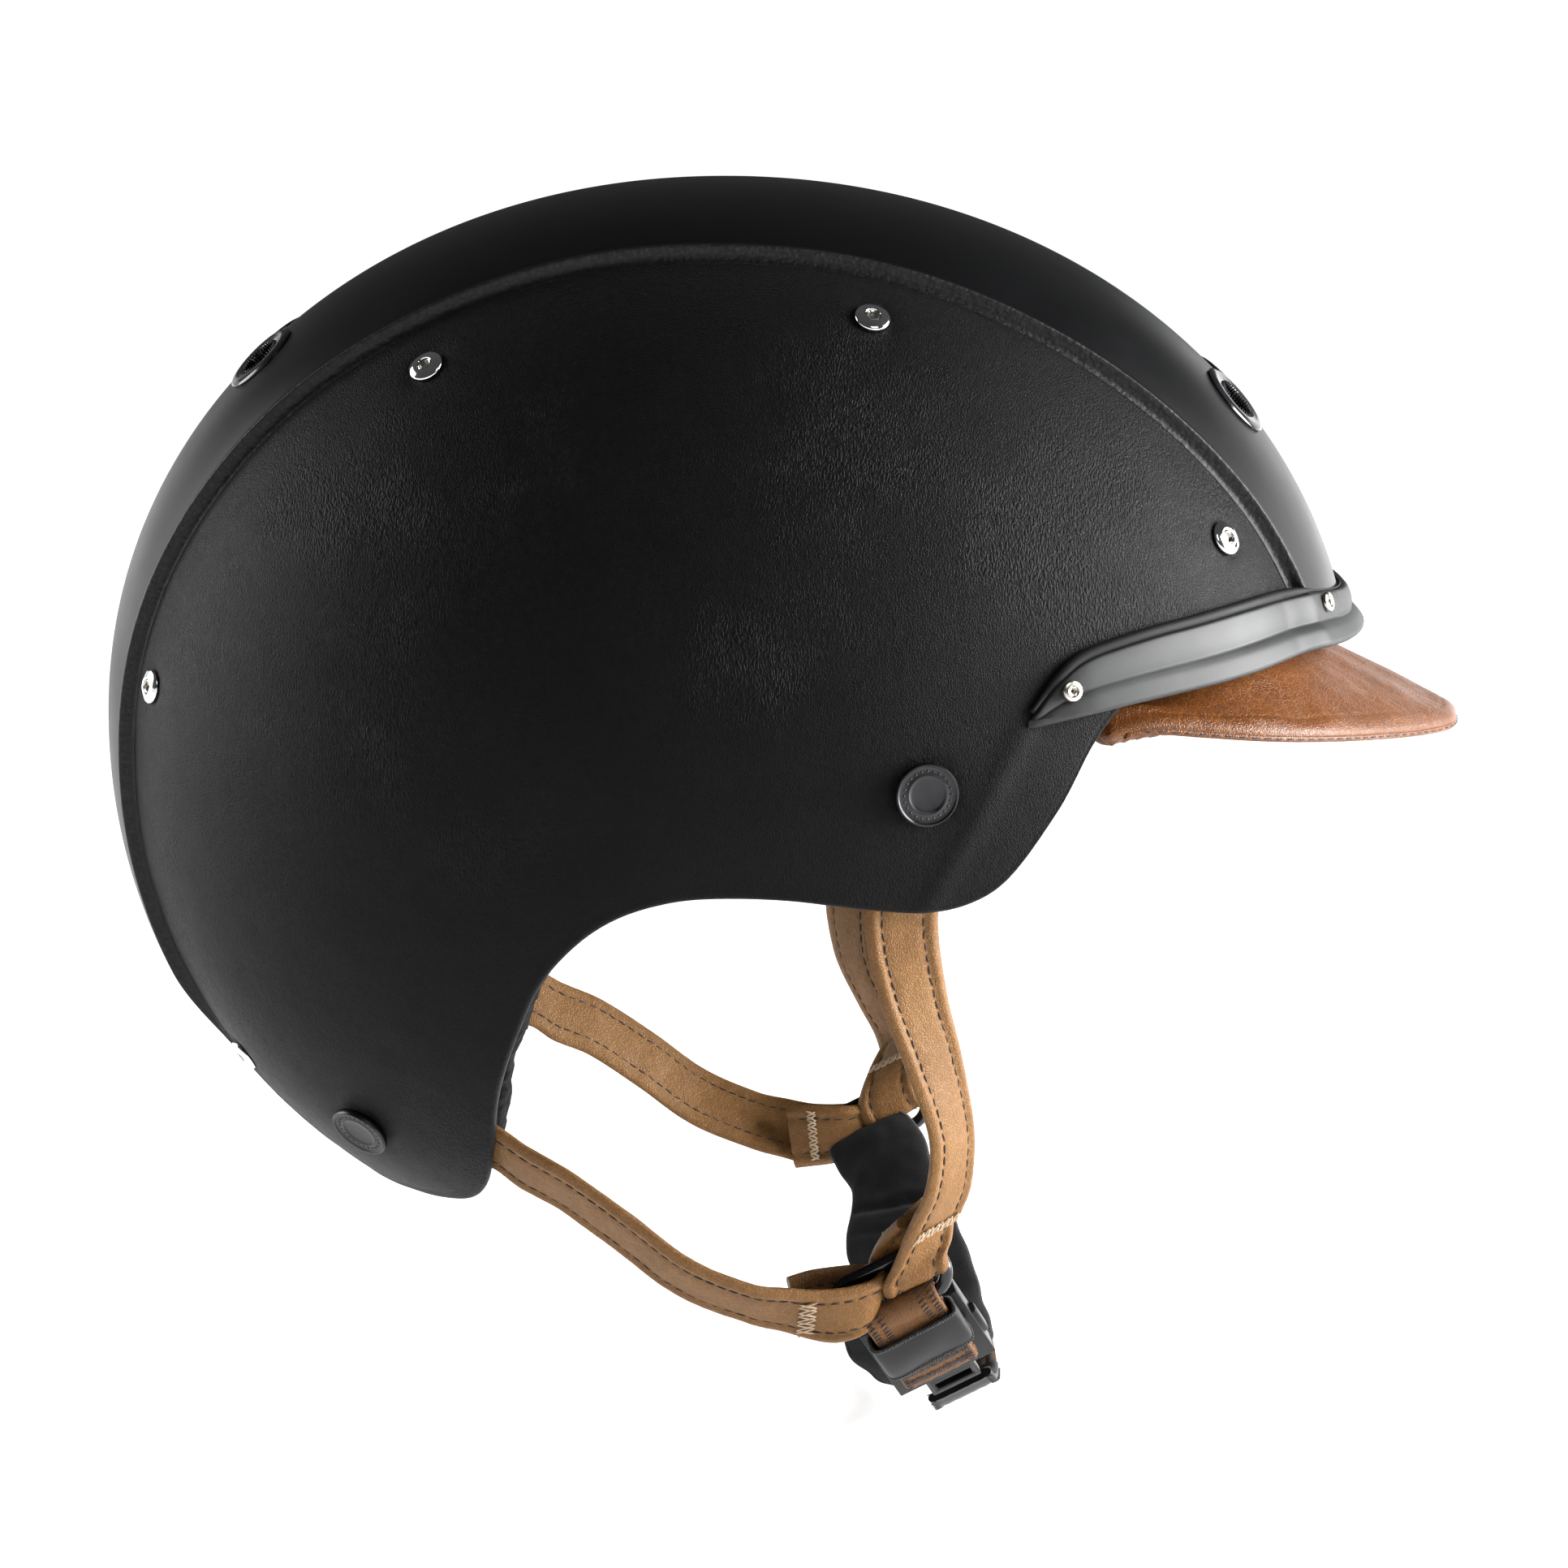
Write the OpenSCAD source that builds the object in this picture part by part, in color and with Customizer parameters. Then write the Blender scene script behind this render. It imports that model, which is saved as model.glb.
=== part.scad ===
// Riding and city helmet: leather-look side shells, raised centre shell, soft peak, V straps, chin strap.
// Millimetres. +X front, +Y left, +Z up. Origin: centre of the head cavity at the height of the brow.

/* [Shell] */
// Half length of the shell from the origin to the brow
front_len = 141.4; // [139:0.2:143]
// Half length of the shell from the origin to the back
rear_len = 138.8; // [137:0.2:141]
// Half width of the shell
half_width = 103; // [101:0.5:105]
// Height of the shell above its widest level
dome_h = 120.7; // [118:0.1:123]
// Thickness of the moulded shells
shell_t = 2.5; // [2:0.1:2.6]
// How far the centre shell stands out of the side shells
lift = 3; // [2:0.2:3]

/* [Liner] */
// Thickness of the foam at the sides
foam_t = 24; // [20:1:26]
// Extra thickness of the foam at the front and the back
foam_extra = 9; // [6:1:10]

/* [Hardware] */
// Radius of a shell rivet's rim
rivet_r = 3.8; // [3:0.1:3.8]
// Radius of a strap snap cap
cap_r = 6.8; // [6:0.1:7.4]
// Outer radius of a vent grommet
vent_r = 9; // [8:0.2:9.4]
// Radius of the vent bore
vent_bore_r = 5; // [4:0.2:5.4]

/* [Straps] */
// Width of the leather straps
strap_w = 16.5; // [14:0.5:17]
// Thickness of the leather straps
strap_t = 3; // [2.4:0.1:3]
// Forward tilt of the hanging chin strap, degrees
chin_tilt = 27; // [20:1:32]
// Radius of the wire of the strap rings
wire_r = 1.5; // [1.2:0.1:1.5]

/* [Fit system] */
// Pitch radius of the pinion under the dial
pinion_r = 4; // [4:1:4]
// Radius of the adjuster dial
dial_r = 10; // [9:0.5:10]

/* [Hidden] */
zc = -15; low_h = 127.5; qu = 0.9; ql = 0.75; nn = 2.15; pf = 2.05; pr = 2.065;

// ---- curves through hand-set points: smooth Hermite interpolation ----
function clamp(x, a, b) = min(max(x, a), b);
function sm(a, b, x) = let(t = clamp((x - a) / (b - a), 0, 1)) t * t * (3 - 2 * t);
function seg(T, x, i = 0) = (i >= len(T) - 2 || x <= T[i + 1][0]) ? i : seg(T, x, i + 1);
function slp(T, i, k) = let(a = max(i - 1, 0), b = min(i + 1, len(T) - 1)) (T[b][k] - T[a][k]) / (T[b][0] - T[a][0]);
function her(T, x, k = 1) = let(i = seg(T, x), h = T[i + 1][0] - T[i][0], t = clamp((x - T[i][0]) / h, 0, 1),
  m0 = slp(T, i, k) * h, m1 = slp(T, i + 1, k) * h)
  T[i][k] * (2*t*t*t - 3*t*t + 1) + m0 * (t*t*t - 2*t*t + t) + T[i + 1][k] * (3*t*t - 2*t*t*t) + m1 * (t*t*t - t*t);

// lower edge of the shell: angle from the front, height
edge_T = [[0,8],[36,7],[44,2],[48,-6],[52,-20],[57,-34],[61,-39],[66,-40.5],[74,-39],[82,-37],[90,-36.5],[96,-37.5],
  [102,-41],[107,-47],[112,-57],[116,-70],[120,-84],[124,-99],[129,-110],[136,-115.5],[150,-117],[165,-116.5],[180,-116]];
// half width of the centre shell: angle up from the front, |Y|
groove_T = [[8,40.5],[14,42],[18,43.2],[24,45],[30,47],[37,48.8],[45,49.9],[55,50.5],[65,50.2],[75,49.7],[90,49.2],[105,48.9],
  [118,49],[128,48.4],[138,46.9],[150,45],[158,42.8],[166,40],[174,37.2],[182,34.7],[190,32],[205,28],[220,25],[236,23]];
// side shell: parameter, angle on the groove, angle on the lower edge
side_T = [[0,13,17.8],[.1,30,32],[.2,50,46],[.3,68,57],[.4,84,70],[.5,98,86],[.6,112,100],[.7,128,110],[.8,150,119],[.9,185,130],[1,228.5,165]];
// lower edge of the foam
foam_T = [[0,18],[30,18],[38,15.5],[46,6.5],[52,-10],[57,-25],[61,-33],[66,-36],[74,-36],[90,-33],[102,-37],[107,-42],
  [112,-48],[118,-56],[126,-64],[140,-70],[180,-72]];
trim_up_T = [[0,15.5],[8,16.5],[22,19],[38,16.2],[45.6,13.5],[49.4,11],[52.4,6.4],[55.2,0.3]];
trim_lo_T = [[0,6.6],[14,7],[22,7.3],[34,4.9],[44,2.7],[52,0.2],[55.2,-1.2]];

// ---- shell surface ----
function sfrac(z) = clamp(z > zc ? (z - zc) / dome_h : (zc - z) / low_h, 0, 0.9999);
function ax(z, x) = let(p = z > zc && x > 0 ? pf : pr) (x > 0 ? front_len : rear_len) * pow(1 - pow(sfrac(z), p), 1 / p);
function wy(z) = half_width * pow(sqrt(1 - pow(sfrac(z), 2)), z > zc ? qu : ql);
function P(phi, z) = let(c = cos(phi), s = sin(phi),
  r = pow(pow(abs(c) / ax(z, c), nn) + pow(abs(s) / wy(z), nn), -1 / nn)) [r * c, -r * s, z];
function nrm(p) = let(h = p.z > zc ? dome_h : low_h, a = p.x > 0 ? front_len : rear_len,
  g = [p.x / (a * a), p.y / (half_width * half_width), (p.z - zc) / (h * h)]) g / norm(g);
function S(phi, z, off = 0) = let(p = P(phi, z)) p + off * nrm(p);
function inside(p) = p.z < zc + dome_h && p.z > zc - low_h && pow(abs(p.x) / ax(p.z, p.x), nn) + pow(abs(p.y) / wy(p.z), nn) < 1;
function bis(a, y, lo, hi, k) = k == 0 ? (lo + hi) / 2 : let(m = (lo + hi) / 2)
  inside([m * cos(a), y, zc + m * sin(a)]) ? bis(a, y, m, hi, k - 1) : bis(a, y, lo, m, k - 1);
function C(a, y, off = 0) = let(r = bis(a, y, 20, 190, 20), p = [r * cos(a), y, zc + r * sin(a)]) p + off * nrm(p);
function raise(a) = lift * (1 - 0.88 * sm(203, 214, a));

// ---- meshes ----
// closed solid from a grid of points: first the outer sheet, then the inner one
module slab(O, I) {
  n = len(O); m = len(O[0]);
  pts = concat([for (r = O) each r], [for (r = I) each r]);
  b = n * m;
  polyhedron(points = pts, faces = concat(
    [for (i = [0:n - 2], j = [0:m - 2], k = [0, 1]) let(a = i*m+j, e = a+1, c = a+m, d = a+m+1) k == 0 ? [a, d, e] : [a, c, d]],
    [for (i = [0:n - 2], j = [0:m - 2], k = [0, 1]) let(a = b+i*m+j, e = a+1, c = a+m, d = a+m+1) k == 0 ? [a, e, d] : [a, d, c]],
    [for (i = [0:n - 2], k = [0, 1]) let(a = i*m, c = a+m) k == 0 ? [a, b+c, c] : [a, b+a, b+c]],
    [for (i = [0:n - 2], k = [0, 1]) let(a = i*m+m-1, c = a+m) k == 0 ? [a, c, b+c] : [a, b+c, b+a]],
    [for (j = [0:m - 2], k = [0, 1]) let(a = j, c = j+1) k == 0 ? [a, c, b+c] : [a, b+c, b+a]],
    [for (j = [0:m - 2], k = [0, 1]) let(a = (n-1)*m+j, c = a+1) k == 0 ? [a, b+c, c] : [a, b+a, b+c]]));
}
// closed tube through rings of points
module loft(R) {
  n = len(R); m = len(R[0]);
  polyhedron(points = [for (r = R) each r], faces = concat(
    [for (i = [0:n - 2], j = [0:m - 1], k = [0, 1]) let(q = (j + 1) % m) k == 0 ? [i*m+j, (i+1)*m+j, (i+1)*m+q] : [i*m+j, (i+1)*m+q, i*m+q]],
    [[for (j = [0:m - 1]) j]], [[for (j = [m - 1:-1:0]) (n-1)*m+j]]));
}
// flat band along a path of [t, x, y, z, wx, wy, wz]: w is the direction of the width
function unit(v) = v / norm(v);
function band(T, w, t, n) = [for (i = [0:n]) let(s = T[0][0] + (T[len(T)-1][0] - T[0][0]) * i / n, e = 0.01,
  s0 = clamp(s - e, T[0][0], T[len(T)-1][0]), s1 = clamp(s + e, T[0][0], T[len(T)-1][0]),
  c = [her(T, s, 1), her(T, s, 2), her(T, s, 3)],
  d = unit([her(T, s1, 1) - her(T, s0, 1), her(T, s1, 2) - her(T, s0, 2), her(T, s1, 3) - her(T, s0, 3)]),
  w0 = [her(T, s, 4), her(T, s, 5), her(T, s, 6)], wd = unit(w0 - d * (w0 * d)), u = cross(d, wd), a = w / 2, h = t / 2, r = h * 0.55)
  [c + wd*a + u*(h-r), c + wd*(a-r) + u*h, c - wd*(a-r) + u*h, c - wd*a + u*(h-r), c - wd*a - u*(h-r), c - wd*(a-r) - u*h, c + wd*(a-r) - u*h, c + wd*a - u*(h-r)]];
module on(p, n) { translate(p) rotate([0, acos(n.z), atan2(n.y, n.x)]) children(); }
module sides() { children(); mirror([0, 1, 0]) children(); }

// places on the shell: angle from the front, height
rivet_at = [[62.1,81.9],[136.7,71.4],[26.9,33.8],[160.4,-0.6],[163.5,-87.7]];
cap_at = [[66.6,-14.1],[143.1,-97]];
screw_at = [[50.8,5.9],[16.3,16]];
vent_at = [[33,17],[141,18]];

module rivet_bores(r) { for (q = rivet_at) let(p = P(q[0], q[1])) on(p, nrm(p)) cylinder(h = 20, r = r, center = true, $fn = 24); }
module cap_bores(r) { for (q = cap_at) let(p = P(q[0], q[1])) on(p, nrm(p)) cylinder(h = 20, r = r, center = true, $fn = 24); }
module screw_bore(i, r) { let(p = P(screw_at[i][0], screw_at[i][1])) on(p, nrm(p)) cylinder(h = 24, r = r, center = true, $fn = 24); }
module vent_bores(r, h) { for (v = vent_at) let(p = C(v[0], -v[1])) on(p, nrm(p)) cylinder(h = h, r = r, center = true, $fn = 36); }

module center_shell() {
  na = 50; ny = 8;
  function row(o, k) = [for (i = [0:na]) let(a = 9.3 + 219.2 * i / na, g = her(groove_T, a) - (k ? 0.5 : 1.1))
    [for (j = [0:ny]) C(a, g * sin(90 * (2 * j / ny - 1)), k ? -shell_t : raise(a))]];
  color([.07, .07, .075]) difference() {
    slab(row(0, false), row(0, true));
    sides() { vent_bores(vent_bore_r + 1.2, 30); screw_bore(1, 1.25); }
  }
}
module side_sheet() {
  nu = 40; nv = 11;
  function grid(off) = [for (i = [0:nu]) let(u = i / nu, a = her(side_T, u, 1), q = C(a, -her(groove_T, a) - 0.1),
    pt = atan2(-q.y, q.x), pb = her(side_T, u, 2), zb = her(edge_T, pb))
    [for (j = [0:nv]) let(v = j / nv) S(pt + (pb - pt) * v, q.z + (zb - q.z) * v, off)]];
  difference() {
    slab(grid(-shell_t), grid(0));
    rivet_bores(2.05); cap_bores(2.05); screw_bore(0, 1.25);
  }
}
module side_shell_right() color([.08, .08, .085]) side_sheet();
module side_shell_left() color([.08, .08, .085]) mirror([0, 1, 0]) side_sheet();

module eps_liner() {
  np = 36; nv = 9; m = nv + 1;
  function zf(phi) = her(foam_T, abs(phi));
  function ez(phi, v) = let(z0 = zf(phi), e0 = asin(clamp(z0 > zc ? (z0 - zc) / dome_h : (z0 - zc) / low_h, -1, 1)),
    e = e0 + (86 - e0) * v) zc + (e > 0 ? dome_h : low_h) * sin(e);
  function so(phi, v) = let(z = ez(phi, v)) S(phi, z, -(3.3 + 4 * (1 - sm(-5, 10, z))));
  function si(phi, v) = let(z = ez(phi, v), p = P(phi, z), n = nrm(p)) p - n * (foam_t + foam_extra * pow(abs(n.x), 2));
  pts = concat([for (i = [0:np - 1], j = [0:nv]) let(f = i * 360 / np, g = f > 180 ? f - 360 : f) so(g, j / nv)],
    [for (i = [0:np - 1], j = [0:nv]) let(f = i * 360 / np, g = f > 180 ? f - 360 : f) si(g, j / nv)],
    [[0, 0, zc + dome_h - 3.3], [0, 0, zc + dome_h - foam_t]]);
  b = np * m; t0 = 2 * b; t1 = t0 + 1;
  color([.12, .12, .12]) difference() {
    polyhedron(points = pts, faces = concat(
      [for (i = [0:np - 1], j = [0:nv - 1], k = [0, 1]) let(a = i*m+j, c = ((i+1)%np)*m+j) k == 0 ? [a, c+1, a+1] : [a, c, c+1]],
      [for (i = [0:np - 1], j = [0:nv - 1], k = [0, 1]) let(a = b+i*m+j, c = b+((i+1)%np)*m+j) k == 0 ? [a, a+1, c+1] : [a, c+1, c]],
      [for (i = [0:np - 1], k = [0, 1]) let(a = i*m, c = ((i+1)%np)*m) k == 0 ? [a, b+c, c] : [a, b+a, b+c]],
      [for (i = [0:np - 1]) [i*m+nv, ((i+1)%np)*m+nv, t0]],
      [for (i = [0:np - 1]) [b+i*m+nv, t1, b+((i+1)%np)*m+nv]]));
    sides() vent_bores(vent_bore_r + 0.6, 110);
    for (y = [-10, 10]) translate([-118, y, -42]) rotate([0, 90, 0]) cylinder(h = 40, r = 3.05, $fn = 24);
  }
}

module brow_trim() {
  n = 44;
  function io(f) = 0.3 + (lift + 0.1) * (1 - sm(18.5, 23, abs(f)));
  function ring(f) = let(g = abs(f), zu = her(trim_up_T, g), zl = her(trim_lo_T, g), i = io(f), l = 1.3 * (1 - sm(14, 52, g)), k = 1 - 0.45 * sm(48, 55.2, g))
    [S(f, zl + 0.2 * k, i), S(f, zl, i + (1.8 + l) * k), S(f, zl + 0.5 * k, i + (2.6 + l) * k), S(f, zl + (zu - zl) * 0.2, i + (2.9 + l) * k),
     S(f, zl + (zu - zl) * 0.45, i + 2.7 * k), S(f, zu - 0.5 * k, i + 2.1 * k), S(f, zu, i)];
  color([.16, .16, .17]) difference() {
    loft([for (i = [0:n]) ring(-55.2 + 110.4 * i / n)]);
    sides() { screw_bore(0, 1.25); screw_bore(1, 1.25); }
  }
}
module trim_gasket() {
  n = 40;
  function io(f) = 0.3 + (lift + 0.1) * (1 - sm(18.5, 23, abs(f)));
  color([.03, .03, .03]) loft([for (i = [0:n]) let(f = -54.5 + 109 * i / n, zu = her(trim_up_T, abs(f)) + 1, p = P(f, zu), q = nrm(p), c = p + q * (io(f) + 0.65),
    e = P(f + 0.5, her(trim_up_T, min(abs(f + 0.5), 55)) + 1), d = unit(e - p), u = unit(cross(d, q)))
    [for (k = [0:7]) c + 0.7 * (q * cos(45 * k) + u * sin(45 * k))]]);
}
module trim_screws() color([.6, .58, .55]) sides() for (i = [0, 1])
  let(s = screw_at[i], p = P(s[0], s[1]), top = i == 0 ? 3 : 5.9) on(p, nrm(p)) difference() {
    union() { translate([0, 0, top]) cylinder(h = 1, r = 2.2, $fn = 32); translate([0, 0, -2.4]) cylinder(h = top + 2.6, r = 1.2, $fn = 24); }
    translate([0, 0, top - 0.5]) cylinder(h = 3, r = 1.1, $fn = 6);
  }
module vent_grommets() color([.1, .1, .11]) sides() for (v = vent_at) let(p = C(v[0], -v[1]), n = nrm(p)) on(p + n * lift, n)
  rotate_extrude($fn = 64) polygon([[vent_bore_r, 0.9], [vent_bore_r, -5.2], [vent_bore_r + 1.1, -5.2], [vent_bore_r + 1.1, 0.35], [vent_r, 0.35], [vent_r - 0.3, 0.9], [vent_bore_r + 1.6, 1.5], [vent_bore_r + 0.6, 1.4]]);
module shell_rivets() color([.8, .8, .8]) sides() for (q = rivet_at) let(p = P(q[0], q[1])) on(p, nrm(p))
  difference() {
    rotate_extrude($fn = 48) polygon([[1.2, -2.5], [2, -2.5], [2, 0.1], [rivet_r, 0.1], [rivet_r, 0.35], [rivet_r - 0.9, 1.1], [1.7, 1.2], [1.2, 0.8]]);
    translate([0, 0, 0.3]) cylinder(h = 3, r = 1.5, $fn = 6);
  }
module strap_snap_caps() color([.18, .18, .18]) sides() for (q = cap_at) let(p = P(q[0], q[1])) on(p, nrm(p))
  rotate_extrude($fn = 64) polygon([[0, 0.5], [cap_r - 0.4, 0.5], [cap_r, 0.9], [cap_r, 1.6], [cap_r - 0.5, 2.2], [cap_r - 1, 2.2], [cap_r - 1.3, 1.9], [3, 2.1], [0, 2.2]]);
module strap_studs() color([.5, .5, .5]) sides() for (q = cap_at) let(p = P(q[0], q[1])) on(p, nrm(p))
  rotate_extrude($fn = 40) polygon([[0, 0.5], [2, 0.5], [2, -6.6], [3.6, -6.6], [3.6, -7.2], [0, -7.2]]);

// pocket under the front edge that takes the tongue of the peak
module peak_socket() color([.06, .06, .06]) difference() {
  translate([107, -31, -1.8]) cube([17.5, 62, 7.4]);
  translate([109, -27.2, 0.2]) cube([30, 54.4, 3.4]);
}

// comfort pads inside the foam: patches of a smaller shell
module pad_patch(f0, f1, z0, z1, o, i, nu = 14, nv = 6) slab(
  [for (a = [0:nu]) [for (b = [0:nv]) let(f = f0 + (f1 - f0) * a / nu, z = z0 + (z1 - z0) * b / nv, p = P(f, z), n = nrm(p), e = foam_extra * n.x * n.x) p - n * (foam_t + e + o)]],
  [for (a = [0:nu]) [for (b = [0:nv]) let(f = f0 + (f1 - f0) * a / nu, z = z0 + (z1 - z0) * b / nv, p = P(f, z), n = nrm(p), e = foam_extra * n.x * n.x,
    r = min(1, 4 * sin(180 * a / nu)) * min(1, 3 * sin(180 * b / nv))) p - n * (foam_t + e + o + (i - o) * (0.35 + 0.65 * r))]]);
module brow_pad() color([.05, .05, .05]) pad_patch(-42, 42, 22, 46, 1.5, 7.5, 20, 6);
module side_pads() color([.05, .05, .05]) sides() pad_patch(60, 104, -14, 26, 1.5, 7, 12, 7);
module crown_pad() color([.05, .05, .05]) slab(
  [for (a = [0:12]) [for (b = [0:6]) C(66 + 4 * a, -22 + 44 * b / 6, -(foam_t + 2.6))]],
  [for (a = [0:12]) [for (b = [0:6]) C(66 + 4 * a, -22 + 44 * b / 6, -(foam_t + 2.6 + 5.5 * (0.35 + 0.65 * min(1, 4 * sin(15 * a)) * min(1, 3 * sin(30 * b)))))]]);
// thick pads that line the two rear lobes of the shell
module lobe_pad() {
  nu = 16; nv = 7;
  function g(k) = [for (a = [0:nu]) let(f = 108.5 + 37.5 * a / nu, zb = max(her(edge_T, f) - 1.2, -112.5), zt = her(foam_T, f) - 2.4)
    [for (b = [0:nv]) let(z = zb + (zt - zb) * b / nv, r = min(1, 0.35 + 2 * sin(180 * b / nv))) S(f, z, k == 0 ? -7.4 : -(7.4 + 12.6 * r * min(1, 0.3 + 2.5 * sin(180 * a / nu))))]];
  slab(g(0), g(1));
}
module neck_pad_right() color([.05, .05, .05]) mirror([0, 0, 0]) lobe_pad();
module neck_pad_left() color([.05, .05, .05]) mirror([0, 1, 0]) lobe_pad();

// ---- straps: [t, x, y, z, width direction] ----
strap_off = -4.85;
function seat(t, phi, z, w) = concat([t], S(phi, z, strap_off), w);
front_path = [seat(0, 66.6, -4, [1,.23,0]), seat(10, 66.6, -14, [1,.23,0]), seat(24, 67.3, -28, [1,.24,0]), [38,38.2,-92.9,-42,1,.3,0],
  [57,41,-89.5,-60,1,.55,0],[74,45.7,-86,-76,1,.9,0],[91,49.7,-82.5,-92.5,1,1.4,0],[104,49.2,-79.3,-105,1,1.3,0],[112,47,-76.5,-112,1,1.1,0],[117.5,45,-73.8,-117,1,1,0]];
// the left one hangs straighter, because the chin strap is closed on the other side
front_path_left = [seat(0, 66.6, -4, [1,.23,0]), seat(10, 66.6, -14, [1,.23,0]), seat(24, 67.3, -28, [1,.24,0]), [38,36.6,-92.9,-42,1,.3,0],
  [57,33,-89.7,-60,1,.55,0],[74,30.2,-86.3,-76,1,.85,0],[91,31.8,-82.6,-92.5,1,1.2,0],[104,38,-79.3,-105,1,1.2,0],[112,42.8,-76.5,-112,1,1.05,0],[117.5,45,-73.8,-117,1,1,0]];
rear_path = [seat(0, 149.5, -95, [-.35,-.65,1]), seat(9, 143.1, -97, [-.31,-.67,1]), seat(24, 133, -100, [-.18,-.72,1]), seat(35, 126, -101.5, [-.1,-.74,1]), [44,-43.5,-70.6,-103.4,.1,-.88,1],
  [54,-34.3,-73,-108,.2,-1,1],[69,-21.8,-74.7,-116.8,.3,-1.07,1],[86,-8.5,-75.6,-126.8,.3,-1.07,1],[102,6,-75.2,-133,.15,-1.05,1],[111,14,-73.8,-134.6,.1,-1,1],[117.5,20,-72,-135.6,0,-1,1]];
module front_strap(path) difference() { loft(band(path, strap_w, strap_t, 30)); cap_bores(2.05); }
module rear_strap() difference() { loft(band(rear_path, strap_w, strap_t, 30)); cap_bores(2.05); }
module front_strap_right() color([.62, .42, .27]) front_strap(front_path);
module front_strap_left() color([.62, .42, .27]) mirror([0, 1, 0]) front_strap(front_path_left);
module rear_strap_right() color([.62, .42, .27]) rear_strap();
module rear_strap_left() color([.62, .42, .27]) mirror([0, 1, 0]) rear_strap();

// ---- rings and chin strap, in a frame that hangs from the two rings and leans forward ----
ring_c = [37, 0, -131]; ring_y = 70; ring_l = 13; ring_h = 5.5;
module hang() translate(ring_c) rotate([0, -chin_tilt, 0]) children();
module arc(x, a0, a1, r0, r1) translate([x, 0, 0]) rotate([90, 0, 0]) rotate([0, 0, a0])
  rotate_extrude(angle = a1 - a0, $fn = 72) translate([ring_h, 0]) difference() { circle(r = r1, $fn = 32); if (r0 > 0) circle(r = r0, $fn = 32); }
module ring() translate([0, -ring_y, 0]) {
  arc(ring_l - ring_h, -90, 90, 0, wire_r); arc(-(ring_l - ring_h), 90, 270, 0, wire_r);
  for (z = [-ring_h, ring_h]) translate([0, 0, z]) rotate([0, 90, 0]) cylinder(h = 2 * (ring_l - ring_h), r = wire_r, center = true, $fn = 32);
}
module strap_ring_right() color([.05, .05, .05]) hang() ring();
module strap_ring_left() color([.05, .05, .05]) hang() mirror([0, 1, 0]) ring();
module loops() translate([0, -ring_y, 0]) { arc(ring_l - ring_h, 15, 88, wire_r + 0.1, 4.2); arc(-(ring_l - ring_h), 110, 200, wire_r + 0.1, 4.2); }
module strap_loops_right() color([.6, .4, .26]) hang() loops();
module strap_loops_left() color([.6, .4, .26]) hang() mirror([0, 1, 0]) loops();

// near frame: from the ring's lower bar along the straight run of webbing to the buckle
run_a = 37;
module near() hang() translate([0, -ring_y, -ring_h]) rotate([run_a, 0, 0]) children();
module bar_loop(l) rotate([0, 90, 0]) difference() { cylinder(h = l, r = 3.3, center = true, $fn = 40); cylinder(h = l + 1, r = wire_r + 0.1, center = true, $fn = 40); }
module chin_webbing_right() color([.55, .38, .25]) near() {
  bar_loop(14.6);
  translate([-9, -0.8, -23.5]) cube([18, 1.6, 20.4]);
  translate([-9, -2.9, -23.5]) cube([18, 1.8, 16.5]);
  translate([-9, -2.9, -24.9]) cube([18, 3.7, 1.4]);
}
module webbing_keeper() color([.04, .04, .04]) near() translate([0, 0, -16.6]) difference() {
  translate([-10.8, -4.7, 0]) cube([21.6, 6, 12]);
  translate([-9.4, -3.3, -1]) cube([18.8, 4.4, 14]);
}
module buckle_housing() color([.04, .04, .04]) near() difference() {
  translate([-12, 1.5, -32]) cube([24, 5.4, 27]);
  translate([-6.3, 3.1, -40]) cube([12.6, 2.6, 31]);
  translate([4, 2.7, -26]) cube([12, 3.4, 9.6]);
}
module buckle_cover() color([.06, .06, .06]) near() translate([-11, 7, -31]) cube([22, 1.1, 25]);
module buckle_tongue() color([.06, .06, .06]) near() difference() {
  translate([-6.1, 3.2, -40]) cube([12.2, 2.4, 29.4]);
  translate([1.8, 2, -26.6]) cube([6, 6, 20]);
  translate([-4.5, 2, -38.5]) cube([9, 6, 2.2]);
}
module buckle_button() color([.09, .09, .09]) near() {
  translate([6.6, 2.9, -25.7]) cube([6.6, 3, 9]);
  translate([4.6, 3.3, -24]) cube([2.1, 2.2, 5]);
}
// chin strap on the left: [t, x', y', z', width direction], in the hanging frame
web_T = [[0,0,-40.9,-36.4,1,0,0],[7,0,-36.2,-41,1,0,0],[18,0,-26,-44.6,1,0,0],[36,0,-8,-45,1,0,0],[57,0,12,-40,1,0,0],[77,0,30,-30.5,1,0,0],[98,0,48,-19.5,1,0,0],[114,0,62,-11.6,1,0,0],[119,0,67,-9.2,1,0,0]];
pad_T = [[0,0,-55.1,-6.4,1,0,0],[10,0,-49.1,-14.4,1,0,0],[20,0,-43,-22.4,1,0,0],[30,0,-36,-29.4,1,0,0],[42,0,-26,-35,1,0,0],[60,0,-8.5,-37.6,1,0,0],[80,0,11,-33,1,0,0],[100,0,28.5,-23.5,1,0,0],[118,0,44.5,-14,1,0,0],[140,0,63,-3,1,0,0]];
module chin_webbing_left() color([.55, .38, .25]) hang() {
  loft(band(web_T, 15, 1.6, 26));
  translate([0, ring_y, -ring_h]) bar_loop(14.6);
}
module chin_pad() color([.03, .03, .03]) hang() loft(band(pad_T, 25, 5.2, 30));

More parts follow.
